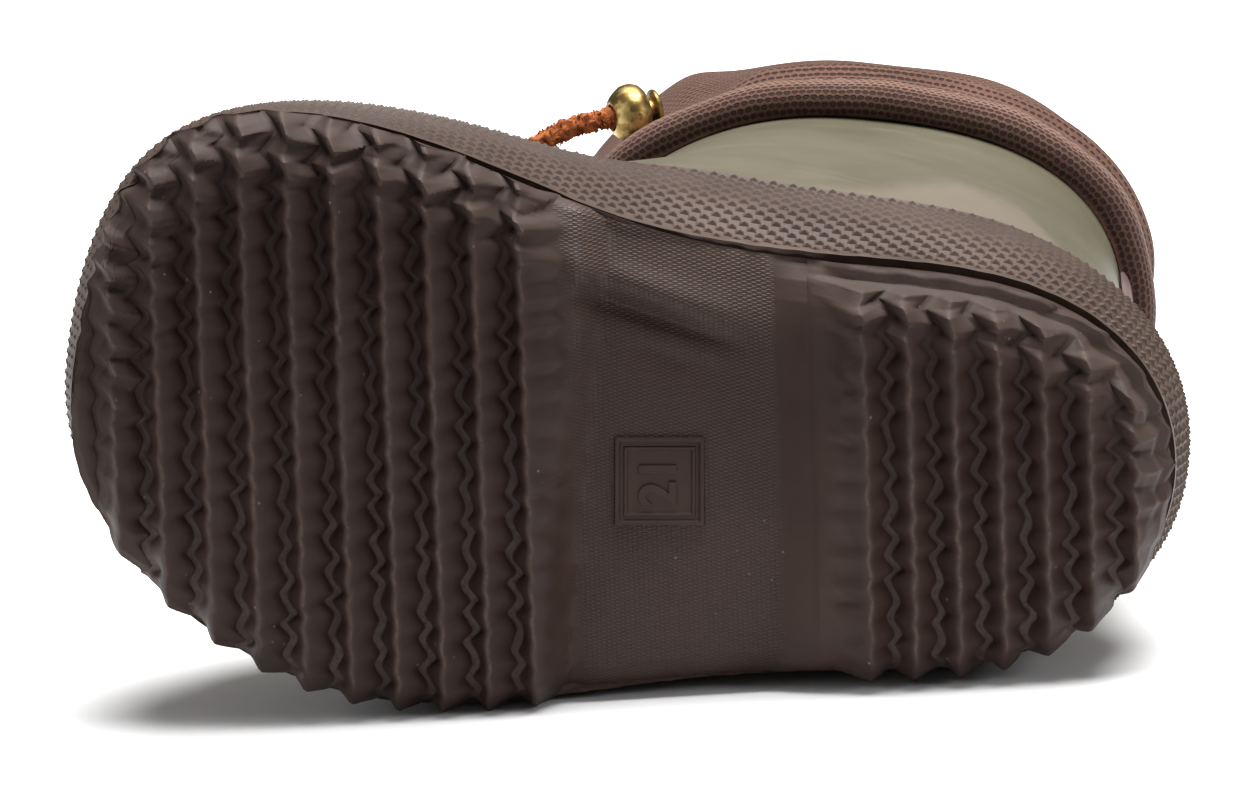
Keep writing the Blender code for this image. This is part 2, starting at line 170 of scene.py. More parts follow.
class Wire:
    def __init__(self, tree, socket=None):
        self.tree = tree
        self.socket = socket

    def node(self, kind, settings, links, out=0):
        made = self.tree.nodes.new("ShaderNode" + kind)
        for key, value in settings.items():
            setattr(made, key, value)
        for key, value in links.items():
            if isinstance(value, Wire):
                self.tree.links.new(value.socket, made.inputs[key])
            elif value is not None:
                made.inputs[key].default_value = value
        return Wire(self.tree, made.outputs[out])

    def maths(self, operation, *values):
        return self.node("Math", {"operation": operation}, dict(enumerate(values)))

    def __add__(self, other):
        return self.maths("ADD", self, other)

    def __radd__(self, other):
        return self.maths("ADD", other, self)

    def __sub__(self, other):
        return self.maths("SUBTRACT", self, other)

    def __rsub__(self, other):
        return self.maths("SUBTRACT", other, self)

    def __mul__(self, other):
        return self.maths("MULTIPLY", self, other)

    def __rmul__(self, other):
        return self.maths("MULTIPLY", other, self)

    def __truediv__(self, other):
        return self.maths("DIVIDE", self, other)

    def __rtruediv__(self, other):
        return self.maths("DIVIDE", other, self)

    def fraction(self):
        return self.maths("FRACT", self)

    def floor(self):
        return self.maths("FLOOR", self)

    def size(self):
        return self.maths("ABSOLUTE", self)

    def between(self, low, high, start=0.0, end=1.0):  # eased step from start to end
        return self.node("MapRange", {"interpolation_type": "SMOOTHSTEP", "clamp": True},
                         {0: self, 1: low, 2: high, 3: start, 4: end})

    def scaled(self, factor):  # a vector times a number or a vector
        if isinstance(factor, (int, float)):
            factor = (factor, factor, factor)
        return self.node("VectorMath", {"operation": "MULTIPLY"}, {0: self, 1: factor})

    def noise(self, scale, detail=3.0, roughness=0.55):
        links = {"Vector": self, "Scale": scale, "Detail": detail, "Roughness": roughness}
        return self.node("TexNoise", {}, links)

    def cells(self, scale):
        return self.node("TexVoronoi", {}, {"Vector": self, "Scale": scale})

    def mix(self, first, second):  # colours by this factor
        def ready(colour):
            return colour if isinstance(colour, Wire) else (*colour, 1.0)
        return self.node("Mix", {"data_type": "RGBA"}, {0: self, 6: ready(first), 7: ready(second)}, 2)

    def bump(self, strength, distance, under=None):
        links = {"Height": self, "Strength": strength, "Distance": distance, "Normal": under}
        return self.node("Bump", {}, links)


class Finish:  # a principled material and the wires that feed it
    def __init__(self, name, **constants):
        self.material = bpy.data.materials.new(name)
        self.material.use_nodes = True
        self.tree = self.material.node_tree
        self.shader = self.tree.nodes["Principled BSDF"]
        self.start = Wire(self.tree)
        for key, value in constants.items():
            self.shader.inputs[key.replace("_", " ")].default_value = value

    def place(self):
        return self.start.node("TexCoord", {}, {}, "Object")

    def uv(self):  # millimetres along and up the piece, kept in its uv map in metres
        parts = self.start.node("SeparateXYZ", {}, {0: self.start.node("TexCoord", {}, {}, "UV")})
        sockets = parts.socket.node.outputs
        return Wire(self.tree, sockets[0]) * (1 / mm), Wire(self.tree, sockets[1]) * (1 / mm)

    def attribute(self, name):
        return self.start.node("Attribute", {"attribute_name": name}, {}, "Fac")

    def feed(self, **wires):
        for key, wire in wires.items():
            self.tree.links.new(wire.socket, self.shader.inputs[key.replace("_", " ")])
        return self.material


def bricks(along, up, wide, tall):  # place in each cell of a brick pattern, from the cell's middle
    row = up / tall
    across = (along / wide + row.floor() * 0.5).fraction() - 0.5
    return across, row.fraction() - 0.5


def dust(place, scale, reach, most, patchFrom):  # specks in loose patches
    return place.cells(scale).between(0.05, reach, most, 0.0) * place.noise(90.0, 1.0).between(patchFrom, 0.7)


# small tools for shapes

def smooth(places, values, at):  # a soft curve through the values
    places, values = np.asarray(places, float), np.asarray(values, float)
    at = np.clip(np.asarray(at, float), places[0], places[-1])
    slopes = np.gradient(values, places)
    i = np.clip(np.searchsorted(places, at, side="right") - 1, 0, len(places) - 2)
    width = places[i + 1] - places[i]
    t = (at - places[i]) / width
    start = values[i] * (1 + 2 * t) * (1 - t) ** 2 + slopes[i] * width * t * (1 - t) ** 2
    end = values[i + 1] * t * t * (3 - 2 * t) + slopes[i + 1] * width * t * t * (t - 1)
    return start + end


def eased(value, low, high):
    t = np.clip((value - low) / (high - low), 0, 1)
    return t * t * (3 - 2 * t)


def easedSpan(value, start, whole, ending, gone):
    return eased(value, start, whole) * (1 - eased(value, ending, gone))


def hump(value, centre, half):
    return np.exp(-((value - centre) / half) ** 2)


def crease(grid, start, end, half, endShare):  # a soft fold along a line, shallower at its ends
    start, along = np.array(start), np.array(end) - np.array(start)
    reach = np.clip(((grid - start) @ along) / (along @ along), 0, 1)
    away = np.linalg.norm(grid - start - reach[:, :, None] * along, axis=2)
    return np.sin(math.pi * np.clip(endShare + reach * 0.8, 0, 1)) * hump(away, 0.0, half)


def unit(vectors):
    return vectors / np.linalg.norm(vectors, axis=-1, keepdims=True)


def runLength(line):  # distance along a line of points
    return np.concatenate([[0], np.cumsum(np.linalg.norm(np.diff(line, axis=0), axis=1))])


def bandUv(loop, run):  # millimetres along and up a band of rings
    climb = np.linalg.norm(np.diff(loop, axis=0), axis=2).mean(axis=1)
    return np.stack(np.meshgrid(run, np.concatenate([[0], np.cumsum(climb)])), axis=2)


def ripple(points, size, seed, octaves=2):  # soft noise from -1 to 1 at points in millimetres
    shift = Vector((seed * 7.3, seed * 3.1, seed * 5.7))  # another part of the noise for each seed
    flat = points.reshape(-1, 3) / size
    values = [noise.fractal(Vector(p) + shift, 1.0, 2.0, octaves) for p in flat]
    return np.array(values).reshape(points.shape[:-1])


# the boot's surfaces, as its solids have them

soleLength = 151.0
fitGap = 0.3

soleStations = {
    "angle": (22.5, 45.0, 67.5, 90.0, 112.5, 135.0, 157.5),
    "inner": (15.6, 25.0, 26.8, 29.6, 38.4, 41.0, 29.6),
    "outer": (16.4, 26.8, 30.4, 35.3, 39.3, 32.4, 18.2),
}

soleProfile = {
    "x": (-4.0, 30.0, 46.5, 52.5, 66.0, 80.0, 84.0, 104.0, 113.0, 123.0, 138.0, 155.0),
    "valley": (3.0, 3.0, 3.0, 6.9, 6.9, 6.9, 3.0, 3.0, 3.0, 3.7, 6.0, 10.0),
    "top": (12.6, 12.2, 11.8, 11.5, 10.7, 9.6, 9.3, 8.7, 8.7, 9.4, 11.5, 15.4),
}

skinSections = {
    "backX": (1.5, -1.5, -1.2, 0.2, 1.2, 1.9, 2.0, 1.2, -0.6),
    "backZ": (12.8, 22.5, 33.0, 45.5, 57.0, 68.5, 82.0, 104.0, 138.5),
    "frontX": (148.9, 150.6, 148.0, 141.0, 126.0, 106.0, 91.5, 81.5, 80.0),
    "frontZ": (14.6, 24.5, 36.0, 48.0, 57.5, 67.5, 82.0, 105.0, 138.5),
    "inner": (38.9, 39.8, 38.2, 35.2, 32.2, 30.7, 30.0, 29.6, 29.0),
    "outer": (37.2, 37.6, 36.6, 33.6, 31.0, 29.6, 29.0, 29.0, 29.0),
    "oval": (0.0, 0.20, 0.37, 0.78, 1.0, 1.0, 1.0, 1.0, 1.0),
    "blunt": (2.2, 2.2, 2.2, 2.2, 2.2, 2.2, 2.15, 2.0, 2.0),
    "arch": (0.0, 0.3, 0.9, 2.3, 3.9, 4.2, 3.0, 0.8, 0.0),
    "follow": (1.0, 0.70, 0.35, 0.0, 0.0, 0.0, 0.0, 0.0, 0.0),
    "lift": (0.3, 10.5, 21.0, 0.0, 0.0, 0.0, 0.0, 0.0, 0.0),
}
lastSection = len(skinSections["backX"]) - 1
backPower = 2.5
archX = 82.0
archReach = 13.0

waveOrders = np.arange(1, len(soleStations["angle"]) + 1)
stationWaves = np.sin(np.outer(np.radians(soleStations["angle"]), waveOrders))
sideWaves = {side: np.linalg.solve(stationWaves, np.array(soleStations[side])) for side in ("inner", "outer")}


def halfWidth(angle, side):
    return np.sin(np.outer(angle, waveOrders)) @ sideWaves[side]


def soleTop(x):
    return smooth(soleProfile["x"], soleProfile["top"], x)


def soleValley(x):
    return np.interp(x, soleProfile["x"], soleProfile["valley"])


def skinRing(section, angles):  # outer face of the upper at one place between its sections
    index = np.arange(lastSection + 1, dtype=float)
    row = {key: float(smooth(index, values, section)) for key, values in skinSections.items()}
    folded = np.where(angles > math.pi, math.tau - angles, angles)
    innerSide = angles <= math.pi
    foot = np.where(innerSide, halfWidth(folded, "inner") / max(soleStations["inner"]),
                    halfWidth(folded, "outer") / max(soleStations["outer"]))
    power = np.where(np.cos(folded) > 0, 2 / backPower, 2 / row["blunt"])
    alongOval = (1 - np.sign(np.cos(folded)) * np.abs(np.cos(folded)) ** power) / 2
    along = (1 - np.cos(folded)) / 2 * (1 - row["oval"]) + alongOval * row["oval"]
    width = foot * (1 - row["oval"]) + np.abs(np.sin(folded)) ** power * row["oval"]
    x = row["backX"] + (row["frontX"] - row["backX"]) * along
    y = np.where(innerSide, row["inner"], -row["outer"]) * width
    y = y - np.where(innerSide, row["arch"], 0.0) * width * hump(x, archX, archReach)
    level = row["backZ"] + (row["frontZ"] - row["backZ"]) * along
    z = level * (1 - row["follow"]) + (soleTop(x) + row["lift"]) * row["follow"]
    return np.stack([x, y, z], axis=1)


def skinGrid(sections, angles):  # points and outward directions
    step = 0.02
    points, normals = [], []
    for s in sections:
        up = skinRing(min(s + step, lastSection), angles) - skinRing(max(s - step, 0.0), angles)
        around = skinRing(s, (angles + step) % math.tau) - skinRing(s, (angles - step) % math.tau)
        out = np.cross(up, around)
        if s <= 0.0:
            out[:, 2] = 0.0
        points.append(skinRing(s, angles))
        normals.append(unit(out))
    return np.array(points), np.array(normals)


def levelRing(z, standOff, angles):  # round the shaft at one height
    heights = skinSections["backZ"]
    section = float(np.interp(z, heights, np.arange(len(heights))))
    points, normals = skinGrid([section], angles)
    flat = unit(normals[0] * np.array([1.0, 1.0, 0.0]))
    ring = points[0] + np.broadcast_to(standOff, len(angles))[:, None] * flat
    ring[:, 2] += z - float(np.interp(section, np.arange(len(heights)), heights))
    return ring


def evenAngles(section, count):  # angles at equal steps round one section, and the run to each
    fineCount = 2880
    fine = np.arange(fineCount + 1) / fineCount * math.tau
    run = runLength(skinRing(section, (fine + 1e-6) % math.tau))
    steps = np.arange(count + 1) / count * run[-1]
    return np.interp(steps, run, fine) % math.tau, steps


# pieces from points

def pick(piece):  # the one selected and active piece
    bpy.ops.object.select_all(action="DESELECT")
    piece.select_set(True)
    bpy.context.view_layer.objects.active = piece


def gridPiece(name, points, uv=None, marks=None, caps=False):  # a grid shaped point by point, then merged
    mergeReach = 0.000002
    rows, cols = points.shape[:2]
    bpy.ops.object.select_all(action="DESELECT")
    bpy.ops.mesh.primitive_grid_add(x_subdivisions=cols - 1, y_subdivisions=rows - 1, size=1, calc_uvs=True)
    piece = bpy.context.object
    piece.name = name
    piece.data.name = name
    piece.data.vertices.foreach_set("co", toWorld(points.reshape(-1, 3)).astype(np.float32).ravel())
    if uv is not None:
        corners = np.empty(len(piece.data.loops), np.int32)
        piece.data.loops.foreach_get("vertex_index", corners)
        inMetres = (uv.reshape(-1, 2)[corners] * mm).astype(np.float32)
        piece.data.uv_layers.active.data.foreach_set("uv", inMetres.ravel())
    for key, values in (marks or {}).items():
        made = piece.data.attributes.new(key, "FLOAT", "POINT")
        made.data.foreach_set("value", values.astype(np.float32).ravel())
    bpy.ops.object.mode_set(mode="EDIT")
    bpy.ops.mesh.select_all(action="SELECT")
    bpy.ops.mesh.remove_doubles(threshold=mergeReach)
    if caps:
        bpy.ops.mesh.select_all(action="DESELECT")
        bpy.ops.mesh.select_non_manifold(extend=False)
        bpy.ops.mesh.fill_holes(sides=0)
    bpy.ops.mesh.select_all(action="SELECT")
    bpy.ops.mesh.normals_make_consistent(inside=False)
    bpy.ops.object.mode_set(mode="OBJECT")
    return piece


def rawPiece(name, points, faces, edges=()):  # points in metres
    mesh = bpy.data.meshes.new(name)
    mesh.from_pydata(points, edges, faces)
    piece = bpy.data.objects.new(name, mesh)
    bpy.context.scene.collection.objects.link(piece)
    return piece


def settle(piece, material, slot, *nodes, angle=None):
    pick(piece)
    if angle is None:
        bpy.ops.object.shade_flat()
    else:
        bpy.ops.object.shade_smooth_by_angle(angle=math.radians(angle))
    piece.data.materials.clear()
    piece.data.materials.append(material)
    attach(piece, "root")
    if nodes:
        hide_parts(*nodes)
    return piece


# lace: a suede cord from stud to stud

laceCord = {
    "radius": 0.0015,
    "route": (  # metres, through the mouths of both studs
        (0.00309, 0.04151, 0.06406), (-0.00081, 0.04013, 0.06369), (-0.00517, 0.03897, 0.06288),
        (-0.00968, 0.03825, 0.0611), (-0.01347, 0.03777, 0.0574), (-0.01584, 0.03753, 0.05229),
        (-0.01729, 0.0375, 0.04664), (-0.01816, 0.03763, 0.04212), (-0.01864, 0.03777, 0.03754),
        (-0.0189, 0.03814, 0.03172), (-0.01811, 0.0387, 0.02616), (-0.01556, 0.03942, 0.02156),
        (-0.01175, 0.04029, 0.01859), (-0.0078, 0.04153, 0.01662), (-0.00416, 0.04296, 0.01522),
    ),
    "steps": 220,
    "around": 18,
    "core": 0.94,  # share of the radius under the lumps
    "lumps": (0.75, 3, 3),  # size, seed, octaves
    "lumpReach": 0.62,
    "crumbs": 2600,  # curled bits of suede
    "crumbSeed": 21,
    "crumbRoot": 0.88,  # share of the radius where they grow
    "crumbRise": (0.5, 1.0),
    "crumbScatter": 0.55,
    "crumbLength": (0.3, 0.85),
    "crumbHalf": (0.05, 0.17),
    "crumbBend": (0.6, 0.05),  # share of the length where they bend, and how much they lift there
    "crumbTip": (0.75, 0.5),  # share of the length where they end, and how far they curl
    "tones": {"dark": (0.185, 0.047, 0.014), "light": (0.36, 0.112, 0.038), "fibre": (0.62, 0.24, 0.09)},
}


def suedeFinish():
    suede = Finish("laceSuede", Roughness=0.95, Specular_IOR_Level=0.1)
    place, tones = suede.place(), laceCord["tones"]
    clump = place.noise(900.0, 3.0)
    fibre = place.noise(5200.0, 2.0)
    tone = clump.between(0.34, 0.66).mix(tones["dark"], tones["light"])
    tone = fibre.between(0.55, 0.75, 0.0, 0.45).mix(tone, tones["fibre"])
    return suede.feed(Base_Color=tone, Normal=(clump + fibre * 0.5).bump(0.7, 0.0003))


def laceCrumbs(line, side, other):  # each a bent strip of one quad and one triangle
    rng = np.random.default_rng(laceCord["crumbSeed"])
    count = laceCord["crumbs"]
    i = rng.integers(2, laceCord["steps"] - 2, count)
    turn = rng.uniform(0, math.tau, count)
    normal = side[i] * np.cos(turn)[:, None] + other[i] * np.sin(turn)[:, None]
    root = line[i] + normal * laceCord["radius"] * laceCord["crumbRoot"]
    lean = normal * rng.uniform(*laceCord["crumbRise"], (count, 1))
    lean = unit(lean + rng.normal(0, laceCord["crumbScatter"], (count, 3)))
    wide = unit(np.cross(lean, rng.normal(size=(count, 3))))
    long = rng.uniform(*laceCord["crumbLength"], (count, 1)) * mm
    half = rng.uniform(*laceCord["crumbHalf"], (count, 1)) * mm
    bendShare, bendLift = laceCord["crumbBend"]
    tipShare, tipCurl = laceCord["crumbTip"]
    bend = root + lean * long * bendShare + normal * long * bendLift
    curl = np.cross(lean, wide) * long * rng.uniform(-tipCurl, tipCurl, (count, 1))
    tip = root + lean * long * tipShare + curl
    across = wide * half
    corners = np.stack([root - across, root + across, bend - across, bend + across, tip], axis=1)
    faces = []
    for n in range(count):
        a = n * 5
        faces += [(a, a + 1, a + 3, a + 2), (a + 2, a + 3, a + 4)]
    return rawPiece("lace_fuzz", corners.reshape(-1, 3).tolist(), faces)


def makeLace():
    route = np.array(laceCord["route"])
    run = runLength(route)
    at = np.linspace(0, run[-1], laceCord["steps"])
    line = np.stack([smooth(run, route[:, k], at) for k in range(3)], axis=1)
    ahead = unit(np.gradient(line, axis=0))
    side = unit(np.cross(ahead, np.array([0.0, 1.0, 0.0])))
    other = np.cross(ahead, side)
    turns = np.linspace(0, math.tau, laceCord["around"] + 1)
    out = side[None] * np.cos(turns)[:, None, None] + other[None] * np.sin(turns)[:, None, None]
    lump = ripple((line[None] + out * laceCord["radius"]) / mm, *laceCord["lumps"])
    lump[-1] = lump[0]
    radius = laceCord["radius"] * laceCord["core"] + lump * laceCord["lumpReach"] * mm
    surface = toBoot(line[None] + out * radius[:, :, None])
    uv = np.stack(np.meshgrid(at / mm, turns), axis=2)
    suede = suedeFinish()
    cord = settle(gridPiece("lace_cord", surface, uv, caps=True), suede, "lace_suede", "lace", angle=60)
    crumbs = settle(laceCrumbs(line, side, other), suede, "lace_suede", angle=60)


makeLace()
print("lace made")


# outsole: ribs with straight crests and zigzag valleys, smooth waist
# a place is where a rib line crosses the middle of the sole, in millimetres from the heel

treadValues = {
    "outlineSteps": 1441,
    "skew": 7.25,  # slant of the ribs in degrees
    "ribHeight": 3.0,
    "ribGroups": ((5.2, 6.18, 7, 0.47), (88.75, 6.28, 10, 0.36)),  # first crest, pitch, count, valley's share
    "crestSteps": ((-0.5, 0.89), (-0.14, 0.985), (0.0, 1.0), (0.14, 0.985), (0.5, 0.89)),  # offset, rib share
    "floorSteps": ((-0.75, 0.13), (-0.5, 0.03), (0.0, 0.0), (0.5, 0.03), (0.75, 0.13)),
    "flankSteps": (0.2, 0.4, 0.6, 0.8),
    "flankBend": 1.8,  # the zigzag grows late on the way down
    "toeFlank": 0.3,  # the last flank stops this short of the toe
    "heelFront": (  # place, rib share, zigzag share
        (43.4, 0.78, 0.5), (44.2, 0.56, 0.9), (45.1, 0.32, 1.1), (46.1, 0.13, 1.0), (47.1, 0.02, 0.7),
        (48.2, 0.0, 0.3), (49.2, 0.0, 0.0), (49.4, 0.0, 0.0),
    ),
    "padBack": (
        (82.6, 0.0, 0.3), (83.6, 0.02, 0.8), (84.4, 0.10, 1.1), (85.4, 0.28, 1.1), (86.4, 0.50, 0.9),
        (87.4, 0.74, 0.5),
    ),
    "waistSteps": (50.4, 51.5, 52.6, 53.8, 55.0, 56.2) + tuple(np.arange(57.0, 82.1, 0.9)),
    "heelTip": (  # inset from the back of the heel, rib share
        (0.02, 0.05), (0.1, 0.09), (0.25, 0.14), (0.5, 0.22), (0.9, 0.33), (1.4, 0.43), (2.0, 0.5),
        (2.8, 0.54), (3.7, 0.66),
    ),
    "heelTipZig": 0.35,
    "toeInsets": (0.01, 0.06, 0.15),  # columns at the tip of the toe
    "toeShare": 0.9,
    "toeZig": 0.4,
    "tips": (7.0, 136.0),  # before and beyond these the columns lie closer, for the curve of the edge
    "tipStep": 0.32,
    "rows": {  # shares of the width from the inner edge: first and last rows, and from, to and count
        "first": (0.0, 0.002, 0.005),
        "edge": (0.01, 0.22, 82),
        "rest": (0.22, 0.99, 130),
        "last": (0.995, 0.998, 1.0),
    },
    "zigPeriod": 4.35,
    "lanePitch": 6.4,
    "zigReach": 0.56,
    "zigSharpness": (0.8, 0.985),  # in the tread, and in the blocks of the inner edge
    "crestWobble": 0.28,
    "uneven": ((0.32, 0.53, 2.1), (0.22, 1.17, 4.7)),  # reach, how often along y, shift from lane to lane
    "swell": ((0.22, 0.21, 1.7), (0.2, 0.83, 3.3)),
    "laneShift": (0.1, 2.9),
    "middle": 4.0,  # half width of the change from the inner to the outer side
    "blockReach": (3.5, 12.0),  # inset where the blocks of the inner edge are whole, and where they have gone
    "blockZig": (0.25, 0.4),  # zigzag added in the blocks, and how much wider it is there
    "blockStep": (1.1, 0.9, 2.2, 0.75),  # shift, sharpness, gain and height of their steps
    "crispEnd": (118.0, 136.0),  # their zigzag softens from here to there
    "toeCalm": (145.0, 148.0, 0.6),  # from, to, and how much less zigzag there is beyond
    "waist": (50.0, 55.0, 80.4, 85.4),  # starts, is whole, ends, has gone
    "heel": (46.0, 50.0),
    "innerRoll": ((0.0, 5.6), (0.5, 4.6), (1.2, 3.4), (2.8, 1.8), (5.5, 0.55), (8.5, 0.0)),  # inset, rise
    "heelRoll": ((0.0, 5.2), (0.4, 4.7), (1.8, 4.2), (2.3, 2.6), (4.2, 1.0), (7.5, 0.0)),
    "outerRoll": ((0.0, 4.2), (0.9, 2.4), (2.8, 1.0), (6.5, 0.0), (8.5, 0.0)),
    "waistRolls": ((3.7, 11.0), (3.2, 3.5)),  # rise and inset on the inner and on the outer side
    "toeSquare": (143.0, 149.0, 0.55),  # from, to, and how much less the edge rolls up beyond
    "edgeReach": 1.8,
    "tooth": (0.27, -1.35, 0.4),  # reach of rib ends on the inner and outer side, rib share that stays put
    "outerFade": 0.42,
    "heelLedge": (1.9, 2.5),  # inset where the heel's ribs start on the inner side
    "heelLine": (49.3, 0.1, 0.12),  # place, half length and height of the fine step before the heel
    "heelLineFade": (40.0, 47.0),
    "dents": (  # ends, half width and depth of soft folds in the waist
        ((86.0, 20.6), (62.0, 14.6), 1.7, 1.7),
        ((86.0, 25.2), (62.0, 18.6), 2.1, -1.15),
        ((76.0, 13.6), (62.0, 10.2), 1.8, 0.45),
        ((76.0, 16.6), (62.0, 12.6), 1.3, -0.25),
        ((66.0, 25.5), (55.0, 21.0), 3.2, 0.35),
    ),
    "dentEnds": 0.12,
    "dentEdge": (0.5, 4.5),
    "joined": (57.0, 74.0, 82.0, 86.0),  # where the waist runs up into the rand on the inner side
    "joinedRise": (75.5, 80.0, 86.0, 89.0),
    "joinedLip": (1.2, 0.35),  # rise and inset
    "underTop": (0.4, 0.3),  # room under the top for the edge's roll, and for the whole tread
    "tuck": (0.35, 1.5),  # how far the wall stands in from the edge, and how much more at the waist
    "capInsets": (0.9, -0.4),
    "grain": (54.6, 0.4, 83.0, 1.5, 0.8),  # starts, fades over, ends, fades over, inset that it fades over
    # polish with painted light, where the inner edge of the waist and pad and the tip of the toe face the
    # lamps
    "waistPolishAndLight": (8.0, 8.0, 9.0),  # y where it starts, fades over, inset
    "padPolishAndLight": (4.0, 12.0),  # inset where it is whole, and where it has gone
    "toePolishAndLight": (145.4, 147.0, 0.9),
    "ribbed": ((43.0, 46.5), (84.0, 87.5)),
    "tones": {
        "dark": (0.029, 0.0148, 0.0110),
        "light": (0.041, 0.0230, 0.0175),
        # painted shade for the flanks and valleys of the ribs
        "valley": (0.014, 0.0072, 0.0058),
        # painted light on the floors of the valleys
        "paintedFloorLight": (0.066, 0.046, 0.039),
        # painted highlight and wear along the crests
        "crest": (0.115, 0.078, 0.063),
        # painted light with polish
        "polishAndLight": (0.062, 0.041, 0.034),
        # painted highlight on the dashes of the grain
        "weaveAndGlint": (0.14, 0.100, 0.084),
        "dust": (0.26, 0.23, 0.20),
    },
}


def soleSides():  # first and last place of the rib lines, y of both edges by place, and the outline
    angles = np.linspace(0, math.pi, treadValues["outlineSteps"])
    x = soleLength * (1 - np.cos(angles)) / 2
    ringX = np.concatenate([x, x[::-1]])
    ringY = np.concatenate([halfWidth(angles, "inner"), -halfWidth(angles, "outer")[::-1]])
    place = ringX - ringY * math.tan(math.radians(treadValues["skew"]))
    low, high = sorted((int(np.argmin(place)), int(np.argmax(place))))
    sides = []
    for part in (np.arange(low, high + 1), np.arange(high, low + 1 + len(place)) % len(place)):
        order = part[np.argsort(place[part])]
        sides.append((place[order], ringY[order]))
    sides.sort(key=lambda side: -side[1].mean())
    return place.min(), place.max(), sides[0], sides[1], np.stack([ringX, ringY], axis=1)


def treadColumns(start, end):  # place, rib share and zigzag share
    columns = []
    crestSteps, floorSteps = treadValues["crestSteps"], treadValues["floorSteps"]
    crestWobble = treadValues["crestWobble"]
    (crestReach, crestShare), (floorReach, floorShare) = crestSteps[-1], floorSteps[-1]
    for first, pitch, count, lean in treadValues["ribGroups"]:
        for n in range(count):
            crest = first + pitch * n
            columns += [(crest + offset, share, crestWobble) for offset, share in crestSteps]
            if n == count - 1 and crest < soleLength / 2:
                continue
            middle = crest + pitch * lean
            columns += [(middle + offset, share, 1.0) for offset, share in floorSteps]
            near = crest + crestReach
            far = min(crest + pitch - crestReach, end - treadValues["toeFlank"])
            for t in treadValues["flankSteps"]:
                share = crestShare + (floorShare - crestShare) * t
                zig = crestWobble + (1 - crestWobble) * t ** treadValues["flankBend"]
                columns.append((near + (middle - floorReach - near) * t, share, zig))
                columns.append((far + (middle + floorReach - far) * t, share, zig))
    columns += treadValues["heelFront"]
    columns += treadValues["padBack"]
    columns += [(place, 0.0, 0.0) for place in treadValues["waistSteps"]]
    columns += [(start + inset, share, treadValues["heelTipZig"]) for inset, share in treadValues["heelTip"]]
    toe = treadValues["toeShare"], treadValues["toeZig"]
    columns += [(end - inset, *toe) for inset in treadValues["toeInsets"]]
    columns = np.array(sorted(columns)).T
    heelTips, toeTips = treadValues["tips"]
    fine = np.concatenate([np.arange(start, heelTips, treadValues["tipStep"]),
                           np.arange(end, toeTips, -treadValues["tipStep"])[::-1]])[1:-1]
    between = np.array([np.interp(fine, columns[0], row) for row in columns])
    columns = np.concatenate([columns, between], axis=1)
    return columns[:, np.argsort(columns[0])]


def laneWaves(key, y, lane):
    return sum(reach * np.sin(y * often + lane * shift) for reach, often, shift in treadValues[key])


def zigzag(y, lane, sharpness):
    shift, often = treadValues["laneShift"]
    along = (y + laneWaves("uneven", y, lane)) / treadValues["zigPeriod"]
    phase = math.tau * (along + shift * np.sin(lane * often))
    return np.arcsin(sharpness * np.sin(phase)) / math.asin(sharpness)


def soleInset(x, y, ring):  # distance to the outline
    return np.sqrt(((x[:, None] - ring[:, 0]) ** 2 + (y[:, None] - ring[:, 1]) ** 2).min(axis=1))


def rolledEdge(inset, innerSide, waist, heel, place):  # how far the tread's edge rises
    def roll(key):
        table = np.array(treadValues[key])
        return np.interp(inset, table[:, 0], table[:, 1])

    def waistRoll(height, reach):
        return height * np.clip(1 - inset / reach, 0, 1) ** 2

    innerRise = roll("innerRoll") * (1 - heel) + roll("heelRoll") * heel
    innerRoll, outerRoll = (waistRoll(*values) for values in treadValues["waistRolls"])
    rise = innerRise * innerSide + roll("outerRoll") * (1 - innerSide)
    rise = rise * (1 - waist) + np.where(innerSide > 0.5, innerRoll, outerRoll) * waist
    squareFrom, squareTo, square = treadValues["toeSquare"]
    return rise * (1 - square * eased(place, squareFrom, squareTo))


def markSole(place, y, inset, innerSide, waist):  # grain, polish with painted light, and ribs for the material
    first, firstFade, last, lastFade, edgeFade = treadValues["grain"]
    grain = np.clip(np.minimum((place - first) / firstFade, (last - place) / lastFade), 0, 1)
    grain = grain * np.clip(inset / edgeFade, 0, 1)
    polishLightFrom, polishLightFade, polishLightInset = treadValues["waistPolishAndLight"]
    polishAndLight = waist * np.clip((y - polishLightFrom) / polishLightFade, 0, 1) * hump(inset, 0.0, polishLightInset)
    polishAndLight = polishAndLight + (1 - waist) * innerSide * (1 - eased(inset, *treadValues["padPolishAndLight"]))
    toeFrom, toeTo, toePolishAndLight = treadValues["toePolishAndLight"]
    polishAndLight = np.maximum(polishAndLight, toePolishAndLight * eased(place, toeFrom, toeTo))
    heelRibs, padRibs = treadValues["ribbed"]
    ribbed = np.broadcast_to(1 - eased(place, *heelRibs) + eased(place, *padRibs), y.shape)
    return {"grain": grain, "polishAndLight": polishAndLight, "ribbed": ribbed}


